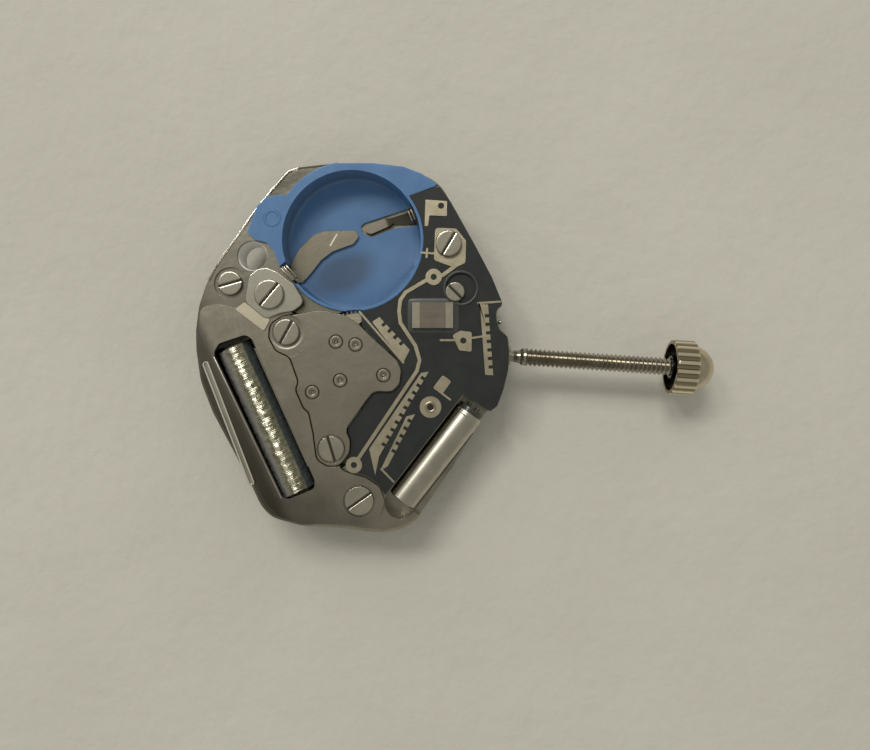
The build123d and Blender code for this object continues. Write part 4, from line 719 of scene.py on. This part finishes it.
def coil_turns():
    """The drive coil: rows of fine wire on a former, laid a little unevenly."""
    low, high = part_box("coil_winding")
    middle = [c / MM for c in (low + high) / 2]
    radius, length, step, groove = 0.895, 7.98, 0.085, 0.008
    flange = radius * 0.9
    profile = [(-length / 2, flange)]
    for index in range(int(length / step)):
        start = -length / 2 + index * step
        profile += [(start + step * 0.25, radius), (start + step * 0.75, radius),
                    (start + step, radius - groove)]
    profile.append((length / 2, flange))
    turns = turned("coil_turns", profile, 56)
    uneven = bpy.data.textures.new("uneven_turns", "CLOUDS")
    uneven.noise_scale = 0.26 * MM
    uneven.noise_depth = 2
    shift = turns.modifiers.new("shift", "DISPLACE")
    shift.texture = uneven
    shift.texture_coords = "LOCAL"
    shift.strength = 0.085 * MM
    shift.mid_level = 0.72
    apply_all(turns)
    smooth(turns)
    settle(turns, middle, (0, math.radians(90), COIL_TURN))
    fit_piece(turns, wire, stands_for="coil_winding")


# Small pieces

def port_lining():
    """Pale sleeve inside the port through the plate, its pale colour painted light so that its shaded wall
    looks as bright as the lit paper below.
    """
    radius, depth, thick, height = 0.745, 1.62, 0.05, 0.97
    clear_selection()
    bpy.ops.mesh.primitive_cylinder_add(vertices=64, radius=radius * MM, depth=depth * MM,
                                        end_fill_type="NOTHING")
    lining = named("port_lining")
    wall = lining.modifiers.new("wall", "SOLIDIFY")
    wall.thickness = thick * MM
    wall.offset = -1
    apply_all(lining)
    settle(lining, (*PORT, height))
    smooth(lining, 40)
    fit_piece(lining, port_lining_painted_light)


def crystal_rim():
    """Rolled rim that closes the crystal's can on its glass base."""
    rim = turned("crystal_rim", [(0.0, 0.64), (0.0, 0.755), (0.05, 0.775), (0.13, 0.775), (0.17, 0.755),
                                 (0.17, 0.64)], 64)
    low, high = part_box("quartz_crystal")
    reach = CRYSTAL_LENGTH - 0.30
    place = (CRYSTAL_END[0] + reach * math.cos(CRYSTAL_TURN),
             CRYSTAL_END[1] + reach * math.sin(CRYSTAL_TURN), (low.z + high.z) / 2 / MM)
    settle(rim, place, (0, math.radians(90), CRYSTAL_TURN))
    smooth(rim, 35)
    fit_piece(rim, can_metal)


def cover_rail():
    """Bright folded rail along the outer side of the coil cover: two crests with a hollow between them, the
    crests carrying painted highlights.
    """
    middle, length, turn = along(RAIL)
    width, thick, end_round, crest, hollow = 0.32, 0.16, 0.15, 0.085, 0.09
    rail = box_piece("cover_rail", (length, width, thick))
    pick(rail, lambda centre, way: abs(way.z) > 0.5 * thick * MM, "EDGE")
    bpy.ops.mesh.bevel(offset=end_round * MM, segments=4, affect="EDGES")
    bpy.ops.object.mode_set(mode="OBJECT")
    pick(rail, lambda centre, normal: normal.z > 0.9)
    bpy.ops.mesh.inset(thickness=crest * MM)
    bpy.ops.mesh.extrude_region_move(TRANSFORM_OT_translate={"value": (0, 0, -hollow * MM)})
    bpy.ops.object.mode_set(mode="OBJECT")
    round_edges(rail, 0.035, 3)
    settle(rail, (*middle, COVER_TOP + 0.01), (0, 0, turn))
    fit_piece(rail, rail_steel)


def edge_bead():
    """Pale bead along the upper left of the plate's edge, a painted highlight where the light runs along it.
    """
    radius, height = 0.05, PLATE_TOP - 0.04
    right_angle = math.radians(90)
    turn = along((PLATE_EDGE[0], PLATE_EDGE[-1]))[2]
    x, y = PLATE_EDGE[0]
    clear_selection()
    bpy.ops.mesh.primitive_circle_add(vertices=16, radius=radius * MM, fill_type="NGON",
                                      location=(x * MM, y * MM, height * MM),
                                      rotation=(right_angle, 0, turn + right_angle))
    bead = named("edge_bead")
    bpy.ops.object.transform_apply(location=True, rotation=True, scale=True)
    bpy.ops.object.mode_set(mode="EDIT")
    bpy.ops.mesh.select_mode(type="FACE")
    bpy.ops.mesh.select_all(action="SELECT")
    for (x, y), (next_x, next_y) in zip(PLATE_EDGE, PLATE_EDGE[1:]):
        bpy.ops.mesh.extrude_region_move(
            TRANSFORM_OT_translate={"value": ((next_x - x) * MM, (next_y - y) * MM, 0)})
    bpy.ops.mesh.select_all(action="SELECT")
    bpy.ops.mesh.normals_make_consistent(inside=False)
    bpy.ops.object.mode_set(mode="OBJECT")
    smooth(bead)
    fit_piece(bead, bead_highlight_steel)


def window_lip():
    """Raised lip along the outer side of the cover's window, in paler steel as a painted highlight."""
    middle, length, turn = along(beside(WINDOW_SIDE, -0.05))
    lip = box_piece("window_lip", (length - 0.30, 0.09, 0.08), 0.03)
    settle(lip, (*middle, COVER_TOP), (0, 0, turn))
    smooth(lip)
    fit_piece(lip, lip_highlight_steel)


def fold_ridge(name, width, place, turn):
    """One bright ridge of a spring's folded end."""
    ridge = box_piece(name, (width, 0.09, 0.30), 0.04)
    settle(ridge, place, (0, 0, turn))
    smooth(ridge)
    fit_piece(ridge, bright_steel)


def riser_folds():
    """The folded end of the negative spring, three bright ridges beside the clamp plate."""
    middle, length, turn = along([(WELL[0] + x * WELL_RADIUS, WELL[1] + y * WELL_RADIUS)
                                  for x, y in ((-0.765, -0.657), (-0.969, -0.458))])
    for index, (shift, top) in enumerate(((-0.07, 2.36), (0.06, 2.30), (0.19, 2.22))):
        place = (middle[0] + math.sin(turn) * shift, middle[1] - math.cos(turn) * shift, top - 0.15)
        fold_ridge("spring_fold_" + str(index + 1), length - 0.16, place, turn)


def tongue_folds():
    """The folded end of the positive tongue at the well's wall, two bright ridges."""
    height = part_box("positive_contact")[1].z / MM - 0.13
    for index, reach in enumerate((3.13, 3.29)):
        place = (WELL[0] + reach * math.cos(TONGUE_TURN), WELL[1] + reach * math.sin(TONGUE_TURN), height)
        fold_ridge("tongue_fold_" + str(index + 1), 0.56, place, TONGUE_TURN + math.radians(90))


def edge_pin():
    """Small bright pin in the notch on the stem's side."""
    pin = turned("edge_pin", [(1.5, 0.10), (1.98, 0.10), (2.07, 0.085), (2.11, 0.05), (2.12, 0.01)], 24)
    settle(pin, (7.02, 1.60, 0.0))
    smooth(pin)
    fit_piece(pin, bright_steel)


def capacitor_gel():
    """Clear gel that wells up softly round the chip capacitor."""
    gel = box_piece("capacitor_gel", (2.60, 1.78, 0.20), 0.10, 1)
    soften = gel.modifiers.new("soften", "SUBSURF")
    soften.levels = soften.render_levels = 4
    apply_all(gel)
    settle(gel, (*CAPACITOR, BOARD_TOP - 0.03), (0, 0, TURN))
    smooth(gel, 80)
    fit_piece(gel, gel_finish)


def flat_ring(name, centre, height, inner, outer, finish):
    """Thin ring that lies flat: an eyelet, or the raised lip of a lacquered recess."""
    thick = 0.07
    clear_selection()
    bpy.ops.mesh.primitive_torus_add(major_segments=64, minor_segments=10,
                                     major_radius=(inner + outer) / 2 * MM,
                                     minor_radius=(outer - inner) / 2 * MM)
    ring = named(name)
    bpy.ops.object.mode_set(mode="EDIT")
    bpy.ops.mesh.select_all(action="SELECT")
    bpy.ops.transform.resize(value=(1, 1, thick / (outer - inner)), center_override=(0, 0, 0))
    bpy.ops.object.mode_set(mode="OBJECT")
    settle(ring, (*centre, height + thick / 2))
    smooth(ring)
    fit_piece(ring, finish)


def stem_lead():
    """Tapered end of the stem's thread, where it comes out of the movement."""
    lead = turned("stem_lead", [(7.84, 0.24), (7.90, 0.29), (8.20, 0.33), (8.45, 0.43), (8.50, 0.43)], 40)
    settle(lead, (0, 0, STEM_HEIGHT), (0, math.radians(90), 0))
    smooth(lead)
    fit_piece(lead, stem_steel, "stem")


coil_turns()
port_lining()
crystal_rim()
cover_rail()
edge_bead()
window_lip()
riser_folds()
tongue_folds()
edge_pin()
capacitor_gel()
stem_lead()
flat_ring("pad_eyelet", at((0.251, -0.156)), 2.17, 0.15, 0.30, eyelet_metal)
flat_ring("recess_lip", at((0.322, 0.174)), 2.165, 0.74, 0.88, lip_lacquer)

# Each rounded copy: its node, its name, the width of its edges and its slot
for node_name, name, width, slot in (
        ("contact_bridge", "clamp_plate", 0.05, "steel_cover"),
        ("train_bridge", "bridge_plate", 0.03, "steel_cover"),
        ("coil_cover", "cover_plate", 0.035, "steel_cover"),
        ("clamp_screws", "large_screw_heads", 0.030, "steel_bright"),
        ("bridge_screws", "bridge_screw_heads", 0.030, "steel_bright"),
        ("small_screws", "small_screw_heads", 0.026, "steel_bright"),
        ("bridge_bushes", "bush_rims", 0.025, "steel_bright"),
        ("board_tracks", "track_films", 0.022, "gilt"),
        ("negative_contact", "negative_spring", 0.02, "spring_metal"),
        ("positive_contact", "positive_spring", 0.012, "spring_metal"),
        ("battery_insulator", "blue_shell", 0.04, "blue_plastic"),
        ("main_plate", "plate_body", 0.03, "nickel_plate")):
    round_node(node_name, name, width)
round_node("crown", "fluted_crown", 0.05, "stem", 3)


# Floor, light and camera

def lay_floor():
    """White paper, just under the lowest point of the movement."""
    clear_selection()
    bpy.ops.mesh.primitive_grid_add(x_subdivisions=8, y_subdivisions=8, size=1.2,
                                    location=(0, 0, cad_low.z - 0.00002))
    floor = named("paper_sheet")
    bpy.ops.object.transform_apply(location=True, rotation=True, scale=True)
    dress(floor, paper())


def lamp(name, spot, size, power, colour):
    """Round soft lamp that faces the movement. Its place and size are in metres."""
    data = bpy.data.lights.new(name, "AREA")
    data.shape = "DISK"
    data.size = size
    data.energy = power
    data.color = colour
    item = bpy.data.objects.new(name, data)
    bpy.context.scene.collection.objects.link(item)
    item.location = spot
    target = (0.001, 0.0, 0.001)
    way = [t - s for t, s in zip(target, spot)]
    item.rotation_mode = "QUATERNION"
    item.rotation_quaternion = Vector(way).to_track_quat("-Z", "Y")


def light_scene():
    """Daylight from a window, with a dimmer room for the camera and for what the metal mirrors."""
    world = bpy.data.worlds.new("studio")
    bpy.context.scene.world = world
    world.use_nodes = True
    tree = world.node_tree
    plain = tree.nodes["Background"]
    plain.inputs["Color"].default_value = (1.0, 0.985, 0.95, 1)
    plain.inputs["Strength"].default_value = 0.53
    backdrop = tree.nodes.new("ShaderNodeBackground")
    backdrop.inputs["Color"].default_value = (0.30, 0.29, 0.255, 1)
    backdrop.inputs["Strength"].default_value = 1.0
    path = tree.nodes.new("ShaderNodeLightPath")
    seen = path.outputs["Is Camera Ray"]
    for kind in ("Is Glossy Ray", "Is Transmission Ray"):
        either = tree.nodes.new("ShaderNodeMath")
        either.operation = "MAXIMUM"
        tree.links.new(seen, either.inputs[0])
        tree.links.new(path.outputs[kind], either.inputs[1])
        seen = either.outputs[0]
    mix = tree.nodes.new("ShaderNodeMixShader")
    tree.links.new(seen, mix.inputs[0])
    tree.links.new(plain.outputs[0], mix.inputs[1])
    tree.links.new(backdrop.outputs[0], mix.inputs[2])
    tree.links.new(mix.outputs[0], tree.nodes["World Output"].inputs["Surface"])
    lamp("window", (-0.092, 0.225, 0.350), 0.160, 0.66, (1.0, 0.98, 0.94))
    lamp("small_window", (-0.208, 0.160, 0.320), 0.070, 0.26, (1.0, 0.99, 0.95))


def set_camera():
    """Looks straight down, as the photograph does."""
    data = bpy.data.cameras.new("view")
    data.sensor_width = 36
    data.lens = 33.1
    data.clip_start = 0.001
    data.clip_end = 5.0
    camera = bpy.data.objects.new("view", data)
    bpy.context.scene.collection.objects.link(camera)
    # With this lens, the height gives the scale of the photograph
    camera.location = (3.98 * MM, -1.22 * MM, 41.5 * MM)
    camera.rotation_euler = (0, 0, TURN)
    bpy.context.scene.camera = camera


lay_floor()
light_scene()
set_camera()
bpy.context.scene.view_settings.view_transform = "Standard"
